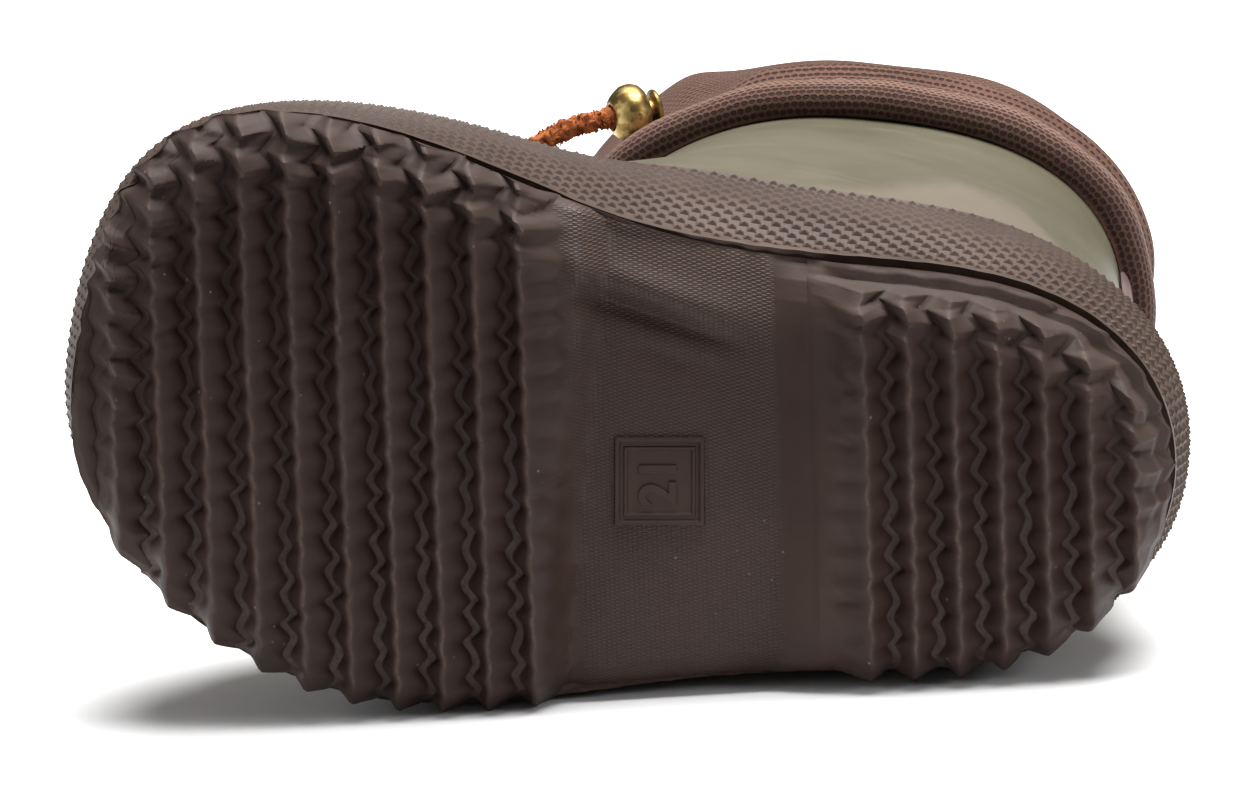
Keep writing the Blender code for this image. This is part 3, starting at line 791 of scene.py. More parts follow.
def soleGrid():
    start, end, inner, outer, ring = soleSides()
    place, share, zig = treadColumns(start, end)
    lane = place / treadValues["lanePitch"]
    yIn, yOut = np.interp(place, *inner), np.interp(place, *outer)
    rows = treadValues["rows"]
    t = np.concatenate([rows["first"], np.linspace(*rows["edge"], endpoint=False),
                        np.linspace(*rows["rest"]), rows["last"]])[:, None]
    skew = math.tan(math.radians(treadValues["skew"]))
    y = yIn + (yOut - yIn) * t
    inset = np.array([soleInset(place + row * skew, row, ring) for row in y])
    innerHalf = t < 0.5
    innerSide = np.clip((y + treadValues["middle"]) / (2 * treadValues["middle"]), 0, 1)
    waist = easedSpan(place, *treadValues["waist"])
    heel = 1 - eased(place, *treadValues["heel"])

    # zigzag of the valleys, with sharp blocks along the inner edge
    blocks = innerSide * (1 - eased(inset, *treadValues["blockReach"]))
    crisp = blocks * (1 - eased(place, *treadValues["crispEnd"]))
    calmFrom, calmTo, calming = treadValues["toeCalm"]
    calm = 1 - calming * eased(place, calmFrom, calmTo)
    softWave, crispWave = (zigzag(y, lane, sharpness) for sharpness in treadValues["zigSharpness"])
    wave = (softWave * (1 - crisp) + crispWave * crisp) * calm
    swell = 1 + laneWaves("swell", y, lane)
    moreZig, widerZig = treadValues["blockZig"]
    zigShare = (zig + moreZig * blocks * (zig > 0)) * (1 + widerZig * blocks)
    x = place + y * skew + treadValues["zigReach"] * swell * zigShare * wave

    # height of the tread
    edge = hump(inset, 0.0, treadValues["edgeReach"])
    ledge = heel * innerSide * (1 - eased(inset, *treadValues["heelLedge"]))
    fade = (1 - edge * (1 - innerSide) * treadValues["outerFade"]) * (1 - ledge)
    shift, sharpness, gain, height = treadValues["blockStep"]
    step = np.clip(zigzag(y + shift, lane, sharpness) * gain, -1, 1) * height * blocks * calm
    lipRise, lipInset = treadValues["joinedLip"]
    joinedRise = easedSpan(x, *treadValues["joinedRise"]) * np.where(innerHalf, lipRise, 0.0)
    joinedRise = joinedRise * hump(inset, 0.0, lipInset)
    rollRoom, treadRoom = treadValues["underTop"]
    z = soleValley(x) + rolledEdge(inset, innerSide, waist, heel, place)
    z = np.minimum(z, soleTop(x) - rollRoom) + joinedRise
    z = z - (treadValues["ribHeight"] + step) * share * fade
    linePlace, lineHalf, lineHeight = treadValues["heelLine"]
    line = eased(place, linePlace + lineHalf, linePlace - lineHalf)
    z = z - lineHeight * line * eased(place, *treadValues["heelLineFade"])
    flat = np.stack([x, y], axis=2)
    for dentStart, dentEnd, half, depth in treadValues["dents"]:
        dent = crease(flat, dentStart, dentEnd, half, treadValues["dentEnds"])
        z = z + depth * dent * waist * eased(inset, *treadValues["dentEdge"])
    z = np.minimum(z, soleTop(x) - treadRoom + joinedRise)

    # rib ends, side walls and top
    innerTooth, outerTooth, still = treadValues["tooth"]
    y = y + np.where(innerHalf, innerTooth, outerTooth) * (share - still) * edge * (1 - waist)
    tuckAll, tuckWaist = treadValues["tuck"]
    tuck = (tuckAll + tuckWaist * waist) * (1 - easedSpan(place, *treadValues["joined"]))
    wallIn, wallOut = yIn - tuck, yOut + tuck
    middle = (wallIn + wallOut) / 2

    def topRow(yRow, drop=0.0):
        xRow = place + yRow * skew
        return np.stack([xRow, yRow, soleTop(xRow) - drop], axis=1)

    tread = np.stack([x, y, z], axis=2)
    first, last = topRow(wallIn, treadRoom), topRow(wallOut, treadRoom)
    capIn, capOut = (topRow(wall - cap) for wall, cap in zip((wallIn, wallOut), treadValues["capInsets"]))
    before = [topRow(middle), capIn, first, (first + tread[0]) / 2]
    after = [(last + tread[-1]) / 2, last, capOut, topRow(middle)]
    points = np.concatenate([before, tread, after])
    marks = {"crest": share * fade, **markSole(place, y, inset, innerSide, waist)}
    pad = ((len(before), len(after)), (0, 0))
    marks = {key: np.pad(values, pad) for key, values in marks.items()}
    uv = points[:, :, :2].copy()
    uv[:, :, 0] -= uv[:, :, 1] * skew
    return points, uv, marks


def soleFinish():
    rubber = Finish("soleRubber", Specular_IOR_Level=0.2)
    tones = treadValues["tones"]
    place, (along, across) = rubber.place(), rubber.uv()
    crest, grain, polishAndLight, ribbed = (rubber.attribute(key) for key in ("crest", "grain", "polishAndLight", "ribbed"))
    cloud = place.noise(55.0, 4.0)
    fine = place.noise(1400.0, 3.0)
    smear = place.noise(320.0, 4.0, 0.65)
    cellX, cellY = bricks(along, across, 1.35, 0.26)
    weaveAndGlint = (cellX * cellX * 9.0 + cellY * cellY * 5.0).between(0.2, 1.1, 1.0, 0.0) * grain
    # patches of wear and of painted light
    wearAndLight = place.noise(200.0, 2.0).between(0.38, 0.62, 0.3, 1.0) * fine.between(0.3, 0.6)
    # painted light: the valley floors, which face the lamps, are lighter in patches, more towards the outer
    # side
    paintedFloorLight = ribbed * crest.between(0.0, 0.16, 1.0, 0.0) * wearAndLight * across.between(-28.0, 18.0, 0.75, 0.25)
    tone = cloud.between(0.3, 0.7).mix(tones["dark"], tones["light"])
    # painted shade: all of the ribs except their crests get darker
    tone = (ribbed * crest.between(0.80, 0.97, 0.36, 0.0)).mix(tone, tones["valley"])
    tone = paintedFloorLight.mix(tone, tones["paintedFloorLight"])
    # painted highlight and wear: the crests are lighter in patches
    tone = (crest.between(0.93, 1.0, 0.0, 0.45) * wearAndLight).mix(tone, tones["crest"])
    # painted light and polish: the inner edge and the toe tip are lighter
    tone = (polishAndLight * 0.45).mix(tone, tones["polishAndLight"])
    # painted highlight on the grain's dashes, stronger where the edge is polished and lit
    tone = (weaveAndGlint * (0.28 + polishAndLight * 0.6)).mix(tone, tones["weaveAndGlint"])
    tone = dust(place, 420.0, 0.11, 0.5, 0.55).mix(tone, tones["dust"])
    rough = 0.40 + cloud * 0.16 + fine * 0.10 - grain * 0.06
    rough = rough - polishAndLight * grain * 0.15 + polishAndLight * (1 - grain) * 0.12
    skinBump = (smear * 0.6 + fine * 0.35).bump(0.35, 0.0003)
    return rubber.feed(Base_Color=tone, Roughness=rough, Normal=weaveAndGlint.bump(1.0, 0.00022, skinBump))


sole = gridPiece("sole_tread", *soleGrid(), caps=True)
soleRubber = soleFinish()
settle(sole, soleRubber, "sole_rubber", "outsole", angle=32)
print("outsole made,", len(sole.data.polygons), "faces")


# a framed size number in the waist

sizeMark = {
    "centre": (69.95, -5.13),
    "turn": 5.2,  # degrees, with the slant of the ribs
    "number": "21",
    "numberSize": 7.0,
    "numberRaise": 0.22,
    "numberBevel": 0.08,
    "numberFatten": 0.1,
    "numberSeat": 0.14,
    "frame": (  # half side, raise
        (6.25, -0.15), (6.2, 0.0), (6.05, 0.58), (5.6, 0.58), (5.35, 0.2), (4.95, 0.2), (4.8, 0.42),
        (4.5, 0.42), (4.3, 0.14), (2.0, 0.12),
    ),
}


def makeMark():
    halves, raises = np.array(sizeMark["frame"]).T
    line = np.concatenate([-halves, [0.0], halves[::-1]])
    a, b = np.meshgrid(line, line)
    height = np.interp(np.maximum(np.abs(a), np.abs(b)), halves[::-1], raises[::-1])
    turn = math.radians(sizeMark["turn"])
    centreX, centreY = sizeMark["centre"]
    face = float(soleValley(centreX))

    def onSole(a, b, height):  # a reads along the number, b up it
        x = centreX + b * math.cos(turn) + a * math.sin(turn)
        y = centreY + a * math.cos(turn) - b * math.sin(turn)
        return np.stack([x, y, face - height], axis=-1)

    settle(gridPiece("size_plate", onSole(a, b, height)), soleRubber, "sole_rubber", angle=30)
    bpy.ops.object.text_add()
    number = bpy.context.object
    number.name = "size_number"
    number.data.body = sizeMark["number"]
    number.data.size = sizeMark["numberSize"]
    number.data.align_x, number.data.align_y = "CENTER", "CENTER"
    number.data.extrude = sizeMark["numberRaise"]
    number.data.bevel_depth = sizeMark["numberBevel"]
    number.data.offset = sizeMark["numberFatten"]
    bpy.ops.object.convert(target="MESH")
    flat = np.array([v.co for v in number.data.vertices])
    seated = toWorld(onSole(flat[:, 0], flat[:, 1], sizeMark["numberSeat"] + flat[:, 2]))
    number.data.vertices.foreach_set("co", seated.astype(np.float32).ravel())
    settle(number, soleRubber, "sole_rubber", angle=40)


makeMark()
print("size mark made")


# rand: a band of small pyramids above the sole

randBand = {
    "thick": 1.8,
    "sunk": 0.5,  # the wall lies this far under the solid's face, which the tips of the studs reach
    "topSection": 2.0,
    "topRound": 0.28,
    "columns": 420,
    "rows": 20,
    "studPitch": 2.84,
    "studRows": 18,
    "studMargins": (0.14, 0.11),  # sections left free below and above them
    "studRoot": 0.06,
    "studHalf": (0.76, 0.52),  # along the band and up it
    "studFade": (0.4, 0.1, 0.2),  # sections below the top edge between which they get smaller, by this share
    "toeFade": (112.0, 140.0, 0.45),  # places between which they get smaller at the toe, by this share
    "lipDrop": 0.8,
    "lipReach": 0.85,
    "lipSwell": (0.6, 1.6),  # share of the reach that the wall above swells, and rows that it fades over
    "lipWaves": ((0.7, 83, 0.0), (0.6, 37, 1.0)),  # reach, waves round the boot, start
    "lipWavy": (0.24, 0.1),  # share of the waves at the lip's lower and upper edge
    "joinedDrop": 0.3,
    "lipInner": (0.15, 0.55),  # reach of the lip's inner edge, and its share of the drop
    "lipTip": 0.75,  # share of the reach at the lowest edge
    "lipTop": 0.1,
    "lipSide": (0.0, 12.0),  # y between which the next shares come in
    "lipShares": (  # place along the inner side, share of the lip there
        (44.0, 0.9), (58.0, 1.15), (66.0, 0.9), (72.0, 0.45), (77.5, 0.08), (79.0, 0.0), (85.5, 0.0),
        (88.5, 0.4), (120.0, 0.45), (140.0, 0.6),
    ),
    "flare": (48.0, 32.0, 1.4),  # place, half length and reach of the top edge's flare on the inner side
    "flareSide": (8.0, 20.0),  # y between which it comes in
    "flareBend": 1.5,  # it grows late on the way up
    "roundShares": (0.8, 0.25),  # of the outer face, in the rows over the top edge
    "tones": {"dark": (0.052, 0.032, 0.0235), "light": (0.069, 0.0450, 0.0345), "dust": (0.30, 0.27, 0.24)},
}
randFace = fitGap + randBand["thick"] - randBand["sunk"]


def lipShare(points):  # the waist runs up into the band on the inner side, where the lip is gone
    places, shares = np.array(randBand["lipShares"]).T
    along = np.interp(points[:, 0], places, shares)
    return 1 + (along - 1) * eased(points[:, 1], *randBand["lipSide"])


def lipSwell(row):
    share, fadeRows = randBand["lipSwell"]
    return randBand["lipReach"] * share * hump(row, 0.0, fadeRows)


def randFlare(points, section):  # stands off more towards the top edge, along the inner side
    place, half, reach = randBand["flare"]
    along = np.exp(-(((points[..., 0] - place) / half) ** 4))
    up = (section / randBand["topSection"]) ** randBand["flareBend"]
    return reach * along * eased(points[..., 1], *randBand["flareSide"]) * up


def makeRand():
    angles, run = evenAngles(1.0, randBand["columns"])
    sections = np.linspace(0, randBand["topSection"], randBand["rows"])
    points, normals = skinGrid(sections, angles)
    outer = points + (randFace + randFlare(points, sections[:, None])[:, :, None]) * normals
    inner = points + fitGap * normals
    inner[0, :, 2] = soleTop(inner[0, :, 0]) + fitGap
    floor = soleTop(outer[0, :, 0]) + fitGap
    turn = run / run[-1] * math.tau
    wave = sum(reach * np.sin(turn * count + start) for reach, count, start in randBand["lipWaves"])
    lip = lipShare(points[0])
    drop = randBand["lipDrop"] * lip + randBand["joinedDrop"] * (1 - lip)
    lowWave, highWave = randBand["lipWavy"]

    def lipRow(reach, height):
        row = outer[0] + normals[0] * (reach * lip)[:, None]
        row[:, 2] = height
        return row

    innerReach, innerDrop = randBand["lipInner"]
    lipIn = lipRow(innerReach, floor - drop * innerDrop - lowWave * wave * lip)
    lipTip = lipRow(randBand["lipReach"] * randBand["lipTip"], floor - drop - lowWave * wave * lip)
    lipOut = lipRow(randBand["lipReach"], floor + randBand["lipTop"] - highWave * wave)
    swell = lipSwell(np.arange(randBand["rows"]))[:, None, None]
    outer = outer + normals * swell * lip[:, None]
    outer[0] = lipOut
    rounding = []
    for share in randBand["roundShares"]:
        row = outer[-1] * share + inner[-1] * (1 - share)
        row[:, 2] += randBand["topRound"]
        rounding.append(row)
    loop = np.concatenate([[inner[0], lipIn, lipTip], outer, rounding, inner[::-1][::4], [inner[0]]])
    return gridPiece("rand_band", loop, bandUv(loop, run)), run[-1]


def makeRandStuds(length):
    count = int(round(length / randBand["studPitch"]))
    corners = ((-1, -1), (1, -1), (1, 1), (-1, 1))
    below, above = randBand["studMargins"]
    top = randBand["topSection"]
    fadeFrom, fadeTo, topFade = randBand["studFade"]
    toeFrom, toeTo, toeFade = randBand["toeFade"]
    points, faces = [], []
    for r, section in enumerate(np.linspace(below, top - above, randBand["studRows"])):
        angles = evenAngles(section, count * 2)[0][r % 2:count * 2:2]
        (place,), (normal,) = skinGrid([section], angles)
        ahead = np.roll(place, -1, axis=0) - np.roll(place, 1, axis=0)
        ahead = unit(ahead - normal * (ahead * normal).sum(axis=1)[:, None])
        up = np.cross(normal, ahead)
        swell = lipSwell(section / top * (randBand["rows"] - 1)) * lipShare(place)
        standOff = randFace + swell + randFlare(place, section) - randBand["studRoot"]
        seat = place + normal * standOff[:, None]
        size = 1 - topFade * eased(section, top - fadeFrom, top - fadeTo)
        size = size * (1 - toeFade * eased(place[:, 0], toeFrom, toeTo))
        halfAlong, halfUp = (half * size for half in randBand["studHalf"])
        tips = seat + normal * ((randBand["sunk"] + randBand["studRoot"]) * size)[:, None]
        for k in range(count):
            a = len(points)
            points += [seat[k] + ahead[k] * sx * halfAlong[k] + up[k] * sy * halfUp[k] for sx, sy in corners]
            points.append(tips[k])
            faces += [(a, a + 1, a + 4), (a + 1, a + 2, a + 4), (a + 2, a + 3, a + 4), (a + 3, a, a + 4)]
    return rawPiece("rand_studs", toWorld(points).tolist(), faces)


def randFinish():
    rubber = Finish("randRubber", Specular_IOR_Level=0.22)
    place, tones = rubber.place(), randBand["tones"]
    cloud = place.noise(70.0, 4.0)
    fine = place.noise(1600.0, 3.0)
    tone = cloud.between(0.3, 0.7).mix(tones["dark"], tones["light"])
    tone = dust(place, 500.0, 0.10, 0.4, 0.58).mix(tone, tones["dust"])
    skinBump = (cloud * 0.4 + fine).bump(0.25, 0.0002)
    return rubber.feed(Base_Color=tone, Roughness=0.44 + fine * 0.16, Normal=skinBump)


randRubber = randFinish()
band, randLength = makeRand()
settle(band, randRubber, "rand_rubber", "rand", angle=40)
studs = settle(makeRandStuds(randLength), randRubber, "rand_rubber")
print("rand made,", len(studs.data.polygons), "stud faces")


# upper: one rubber wall, foot and shaft

upperWall = {
    "thick": 2.0,
    "columns": 168,
    "rows": 96,
    "evenAt": 5.0,  # section along which the columns are evenly spread
    "ripple": (34.0, 4, 0.55),  # size, seed, reach
    "troughUnits": (12.0, 0.62),  # millimetres for one section and for one degree
    "troughEnds": 0.1,
    "troughs": (  # soft folds: ends as section and angle in degrees, half width in mm, depth
        ((2.6, 60.0), (4.4, 95.0), 4.0, 0.9),
        ((2.4, 82.0), (3.6, 104.0), 5.5, 1.1),
        ((3.2, 48.0), (5.4, 84.0), 3.4, -0.6),
        ((4.4, 36.0), (6.2, 70.0), 4.6, 0.5),
        ((4.6, 118.0), (5.2, 158.0), 5.0, 0.9),
        ((4.9, 205.0), (5.0, 240.0), 5.0, 0.9),
        ((5.4, 196.0), (5.6, 160.0), 5.0, 0.7),
        ((3.4, 262.0), (5.4, 300.0), 4.5, 0.8),
    ),
    "counterLine": (  # x and height of a soft ridge at the heel
        (-4.0, 40.0), (15.0, 45.0), (17.5, 54.0), (20.0, 60.8), (23.5, 63.6), (28.0, 62.2), (34.0, 56.2),
        (41.5, 48.1), (47.4, 42.2), (53.0, 37.4), (70.0, 26.0),
    ),
    "counterRidge": (0.3, 1.3),  # height, half width
    "counterEnd": (72.0, 12.0),  # x where it has gone, and the length that it fades over
    "paleBelowRidge": (-6.0, 1.2),  # height from the ridge where the paler tone below it is whole, and where it has gone
    "free": (2.1, 0.5, 7.0, 0.6),  # sections that the folds start and end at, each with its fade
    "innerMoves": (-0.1, 0.25),
    "tones": {
        "dark": (0.084, 0.076, 0.049),
        "light": (0.109, 0.098, 0.067),
        "smear": (0.16, 0.135, 0.095),
        "paleBelowRidge": (0.165, 0.135, 0.105),
    },
}


def upperFinish():
    rubber = Finish("upperRubber", Specular_IOR_Level=0.24)
    place, tones = rubber.place(), upperWall["tones"]
    cloud = place.noise(38.0, 4.0)
    smear = place.scaled((1.0, 3.2, 1.4)).noise(60.0, 3.0)
    fine = place.noise(1500.0, 2.0)
    tone = cloud.between(0.3, 0.7).mix(tones["dark"], tones["light"])
    tone = smear.between(0.56, 0.75, 0.0, 0.25).mix(tone, tones["smear"])
    tone = (rubber.attribute("paleBelowRidge") * 0.65).mix(tone, tones["paleBelowRidge"])
    skinBump = (smear + fine * 0.12).bump(0.12, 0.0006)
    return rubber.feed(Base_Color=tone, Roughness=0.33 + smear * 0.16, Normal=skinBump)


def makeUpper():
    angles, run = evenAngles(upperWall["evenAt"], upperWall["columns"])
    sections = np.linspace(0, lastSection, upperWall["rows"])
    points, normals = skinGrid(sections, angles)
    size, seed, reach = upperWall["ripple"]
    shift = ripple(points, size, seed) * reach
    units = np.array(upperWall["troughUnits"])
    grid = np.stack(np.meshgrid(sections, np.degrees(angles), indexing="ij"), axis=2) * units
    for start, end, half, depth in upperWall["troughs"]:
        fold = crease(grid, np.array(start) * units, np.array(end) * units, half, upperWall["troughEnds"])
        shift -= depth * fold
    line = np.array(upperWall["counterLine"])
    above = points[:, :, 2] - np.interp(points[:, :, 0], line[:, 0], line[:, 1])
    height, half = upperWall["counterRidge"]
    counterEnd, counterFade = upperWall["counterEnd"]
    near = eased(counterEnd - points[:, :, 0], 0.0, counterFade)
    shift += height * hump(above, 0.0, half) * near
    paleBelowRidge = (1 - eased(above, *upperWall["paleBelowRidge"])) * near
    first, firstFade, last, lastFade = upperWall["free"]
    free = np.clip((sections - first) / firstFade, 0, 1) * np.clip((last - sections) / lastFade, 0, 1)
    shift *= free[:, None]
    shift[:, -1] = shift[:, 0]
    outer = points + normals * shift[:, :, None]
    inner = points + normals * (np.clip(shift, *upperWall["innerMoves"]) - upperWall["thick"])[:, :, None]
    for wall in (outer, inner):
        wall[0, :, 2] = soleTop(wall[0, :, 0]) + fitGap
    loop = np.concatenate([outer, inner[::-1][::2], [inner[0], outer[0]]])
    paleBelowRidge = np.pad(paleBelowRidge, ((0, len(loop) - len(paleBelowRidge)), (0, 0)))
    return gridPiece("upper_wall", loop, bandUv(loop, run), {"paleBelowRidge": paleBelowRidge})


settle(makeUpper(), upperFinish(), "upper_rubber", "upper", angle=50)
print("upper made")


# back strip up the heel

backStrip = {
    "halfAngle": 17.0,
    "sections": (2.06, 6.7),
    "thick": 1.2,
    "edgeShare": 0.35,  # of the thickness, at the sides
    "crownPower": 8,  # how flat it is between them
    "width": 20.0,
    "columns": 26,
    "rows": 60,
    "lattice": 1.7,
    "margin": (8.2, 8.6),  # from the middle, where the lattice ends
    "tones": {
        "dark": (0.088, 0.060, 0.054),
        "light": (0.130, 0.092, 0.084),
        "lattice": (0.180, 0.140, 0.130),
    },
}


def stripFinish():
    rubber = Finish("stripRubber", Specular_IOR_Level=0.03)
    tones = backStrip["tones"]
    place, (along, up) = rubber.place(), rubber.uv()
    fine = place.noise(1500.0, 3.0)
    lines = [((slant / backStrip["lattice"]).fraction() - 0.5).size().between(0.40, 0.48)
             for slant in (along + up, along - up)]
    margin = (along - backStrip["width"] / 2).size().between(*backStrip["margin"])
    pattern = (lines[0] + lines[1]) * (1 - margin)
    tone = place.noise(60.0, 3.0).between(0.3, 0.7).mix(tones["dark"], tones["light"])
    tone = (pattern * 0.6).mix(tone, tones["lattice"])
    skinBump = (pattern + fine * 0.3).bump(0.35, 0.0002)
    return rubber.feed(Base_Color=tone, Roughness=0.48 + fine * 0.15, Normal=skinBump)


def makeStrip():
    half = math.radians(backStrip["halfAngle"])
    angles = np.linspace(-half, half, backStrip["columns"])
    sections = np.linspace(*backStrip["sections"], backStrip["rows"])
    points, normals = skinGrid(sections, angles % math.tau)
    across = np.abs(np.linspace(-1, 1, backStrip["columns"]))
    crown = np.clip(1 - across ** backStrip["crownPower"], 0, 1)[None, :, None]
    edgeShare = backStrip["edgeShare"]
    outer = points + normals * (fitGap + backStrip["thick"] * (edgeShare + (1 - edgeShare) * crown))
    inner = points + normals * fitGap
    loop = np.concatenate([outer, inner[::-1], outer[:1]])
    wide = np.linspace(0, backStrip["width"], backStrip["columns"])
    return gridPiece("back_strip_band", loop, bandUv(loop, wide), caps=True)


settle(makeStrip(), stripFinish(), "strip_rubber", "back_strip", angle=40)
print("back strip made")


# cuff: a woven sleeve with a thick open-knit hem

cuffSleeve = {
    "profile": (  # height, stand-off from the shaft
        (99.9, 0.6), (99.7, 1.8), (99.9, 2.9), (100.5, 3.8), (101.4, 4.4), (102.6, 4.75), (104.0, 4.85),
        (105.4, 4.75), (106.6, 4.4), (107.4, 4.0), (108.0, 3.8), (108.7, 3.85), (109.6, 3.7), (110.6, 3.2),
        (111.6, 2.8), (113.0, 2.7), (114.5, 2.8), (116.0, 2.8), (119.0, 2.65), (123.0, 2.5), (127.0, 2.45),
        (131.0, 2.45), (135.0, 2.4), (138.5, 2.3), (140.4, 2.1), (141.5, 1.7), (142.0, 1.2), (141.9, 0.75),
    ),
    "rows": 64,
    "columns": 300,
    "evenAt": 7.4,  # section along which the columns are evenly spread
    "lookHeight": 120.0,  # where a column's x and y are read
    "freeSide": (-6.0, 12.0),  # y between which the cloth gets loose
    "slack": (114.5, 3.6, 2.6),  # height, half height and reach of the loose roll above the hem
    "slackEnd": (54.0, 63.0),
    "rimTuck": ((40.0, 13.0, -0.9), (64.0, 4.0, 1.2)),  # place, half length and reach of changes to the rim
    "rimFrom": (119.0, 132.0),
    "loose": (112.0, 14.0),  # height where the cloth starts to sway, and the height that this takes
    "sway": ((0.22, 5, 0.05, 0.0), (0.1925, 9, -0.11, 1.3)),  # reach, waves round, turn with height, start
    "hemLumps": (0.22, 13, 0.6, 105.0, 5.0),  # reach, waves round, start, height, half height
    "hemLift": (0.5, 3, 0.4, 100.0, 6.0),
    "rimLift": (0.6, 2, 2.0, 136.0, 6.0),
    "least": 0.62,
    "inner": 0.1,
    "innerHeights": (141.4, 100.4, 8),
    "cell": 1.27,
    "cellsRound": 216,
    "hemCell": 0.98,
    "meshCell": 1.15,
    "tones": {
        "dark": (0.088, 0.041, 0.028),
        "light": (0.120, 0.062, 0.044),
        "fuzz": (0.19, 0.112, 0.085),
        "band": (0.185, 0.108, 0.080),
        # painted shade under the hem
        "under": (0.030, 0.013, 0.009),
        # painted shade in the holes of the knit
        "pit": (0.014, 0.0065, 0.005),
    },
}


def cuffFinish():
    cloth = Finish("cuffCloth", Roughness=0.85, Sheen_Weight=0.04, Sheen_Roughness=0.5,
                   Specular_IOR_Level=0.15)
    tones = cuffSleeve["tones"]
    place, (along, up) = cloth.place(), cloth.uv()
    hem = up.between(8.6, 9.4, 1.0, 0.0)
    along = along + (place.noise(280.0, 2.0) - 0.5) * 0.9
    up = up + (place.scaled(1.3).noise(280.0, 2.0) - 0.5) * 0.7
    mesh = up.between(12.0, 12.8)
    cellX, cellY = bricks(along, up, cuffSleeve["cell"], cuffSleeve["hemCell"])
    spread = cellX * cellX * 5.0 + cellY * cellY * 6.5
    hole = (spread / up.between(4.2, 7.2, 1.15, 0.5)).between(0.5, 1.05, 1.0, 0.0)
    fineX, fineY = bricks(along, up, cuffSleeve["cell"], cuffSleeve["meshCell"])
    gauze = place.noise(22.0, 1.0).between(0.40, 0.60, 0.7, 1.2)
    dot = ((fineX * fineX * 4.2 + fineY * fineY * 10.0) / gauze).between(0.4, 1.0, 1.0, 0.0)
    pit = hole * hem + dot * mesh
    fuzz = place.noise(2600.0, 3.0)
    tone = place.noise(60.0, 3.0).between(0.3, 0.7).mix(tones["dark"], tones["light"])
    tone = fuzz.between(0.5, 0.75, 0.0, 0.4).mix(tone, tones["fuzz"])
    tone = (up.between(4.5, 6.0) * up.between(11.6, 12.6, 0.65, 0.0)).mix(tone, tones["band"])
    # painted shade: darker at the lower edge of the hem, under its roll
    tone = up.between(1.8, 4.2, 0.5, 0.0).mix(tone, tones["under"])
    # painted shade in the holes of the hem and the mesh
    tone = (pit * 0.85).mix(tone, tones["pit"])
    return cloth.feed(Base_Color=tone, Normal=((1 - pit) + fuzz * 0.25).bump(0.8, 0.0004))


def cuffRing(z, standOff, angles, turn):  # one row of the outside, with its slow waves
    looseFrom, looseFade = cuffSleeve["loose"]
    loose = np.clip((z - looseFrom) / looseFade, 0, 1)
    sway = sum(reach * np.sin(turn * waves + z * twist + start)
               for reach, waves, twist, start in cuffSleeve["sway"])

    def wavy(key):
        reach, waves, start, height, half = cuffSleeve[key]
        return reach * np.sin(turn * waves + start), height, half

    lumps, lumpHeight, lumpHalf = wavy("hemLumps")
    lift, liftHeight, liftHalf = wavy("hemLift")
    rimLift, rimHeight, rimFade = wavy("rimLift")
    standOff = standOff + sway * loose + lumps * hump(z, lumpHeight, lumpHalf)
    ring = levelRing(z, np.maximum(standOff, cuffSleeve["least"]), angles)
    ring[:, 2] += lift * hump(z, liftHeight, liftHalf) + rimLift * np.clip((z - rimHeight) / rimFade, 0, 1)
    return ring


def makeCuff():
    angles, run = evenAngles(cuffSleeve["evenAt"], cuffSleeve["columns"])
    turn = run / run[-1] * math.tau
    profile = np.array(cuffSleeve["profile"])
    spread = runLength(profile)
    fine = np.linspace(0, spread[-1], cuffSleeve["rows"])
    heights, offsets = (smooth(spread, column, fine) for column in profile.T)
    base = levelRing(cuffSleeve["lookHeight"], 0.0, angles)
    freeSide = eased(base[:, 1], *cuffSleeve["freeSide"])
    slackHeight, slackHalf, slackReach = cuffSleeve["slack"]
    slack = slackReach * freeSide * (1 - eased(base[:, 0], *cuffSleeve["slackEnd"]))
    rim = sum(reach * hump(base[:, 0], at, half) for at, half, reach in cuffSleeve["rimTuck"]) * freeSide
    rows = []
    for z, off in zip(heights, offsets):
        standOff = off + slack * hump(z, slackHeight, slackHalf) + rim * eased(z, *cuffSleeve["rimFrom"])
        rows.append(cuffRing(z, standOff, angles, turn))
    inner = [levelRing(z, cuffSleeve["inner"], angles) for z in np.linspace(*cuffSleeve["innerHeights"])]
    loop = np.array(rows + inner + [rows[0]])
    wholeCells = run / run[-1] * cuffSleeve["cellsRound"] * cuffSleeve["cell"]
    return gridPiece("cuff_sleeve", loop, bandUv(loop, wholeCells))


settle(makeCuff(), cuffFinish(), "cuff_cloth", "cuff", angle=60)
print("cuff made")


# stitches in the groove above the hem

hemStitches = {
    "height": 108.0,
    "standOff": 4.15,
    "count": 66,
    "share": 0.78,  # of the pitch that the thread shows
    "radius": 0.21,
    "bow": 0.28,
    "steps": 7,
    "sides": 6,
    "pitchSteps": 20,  # points of the ring for each stitch
    "look": 3,  # points to each side that give its direction
    "tones": {"dark": (0.13, 0.066, 0.046), "light": (0.24, 0.145, 0.11)},
}


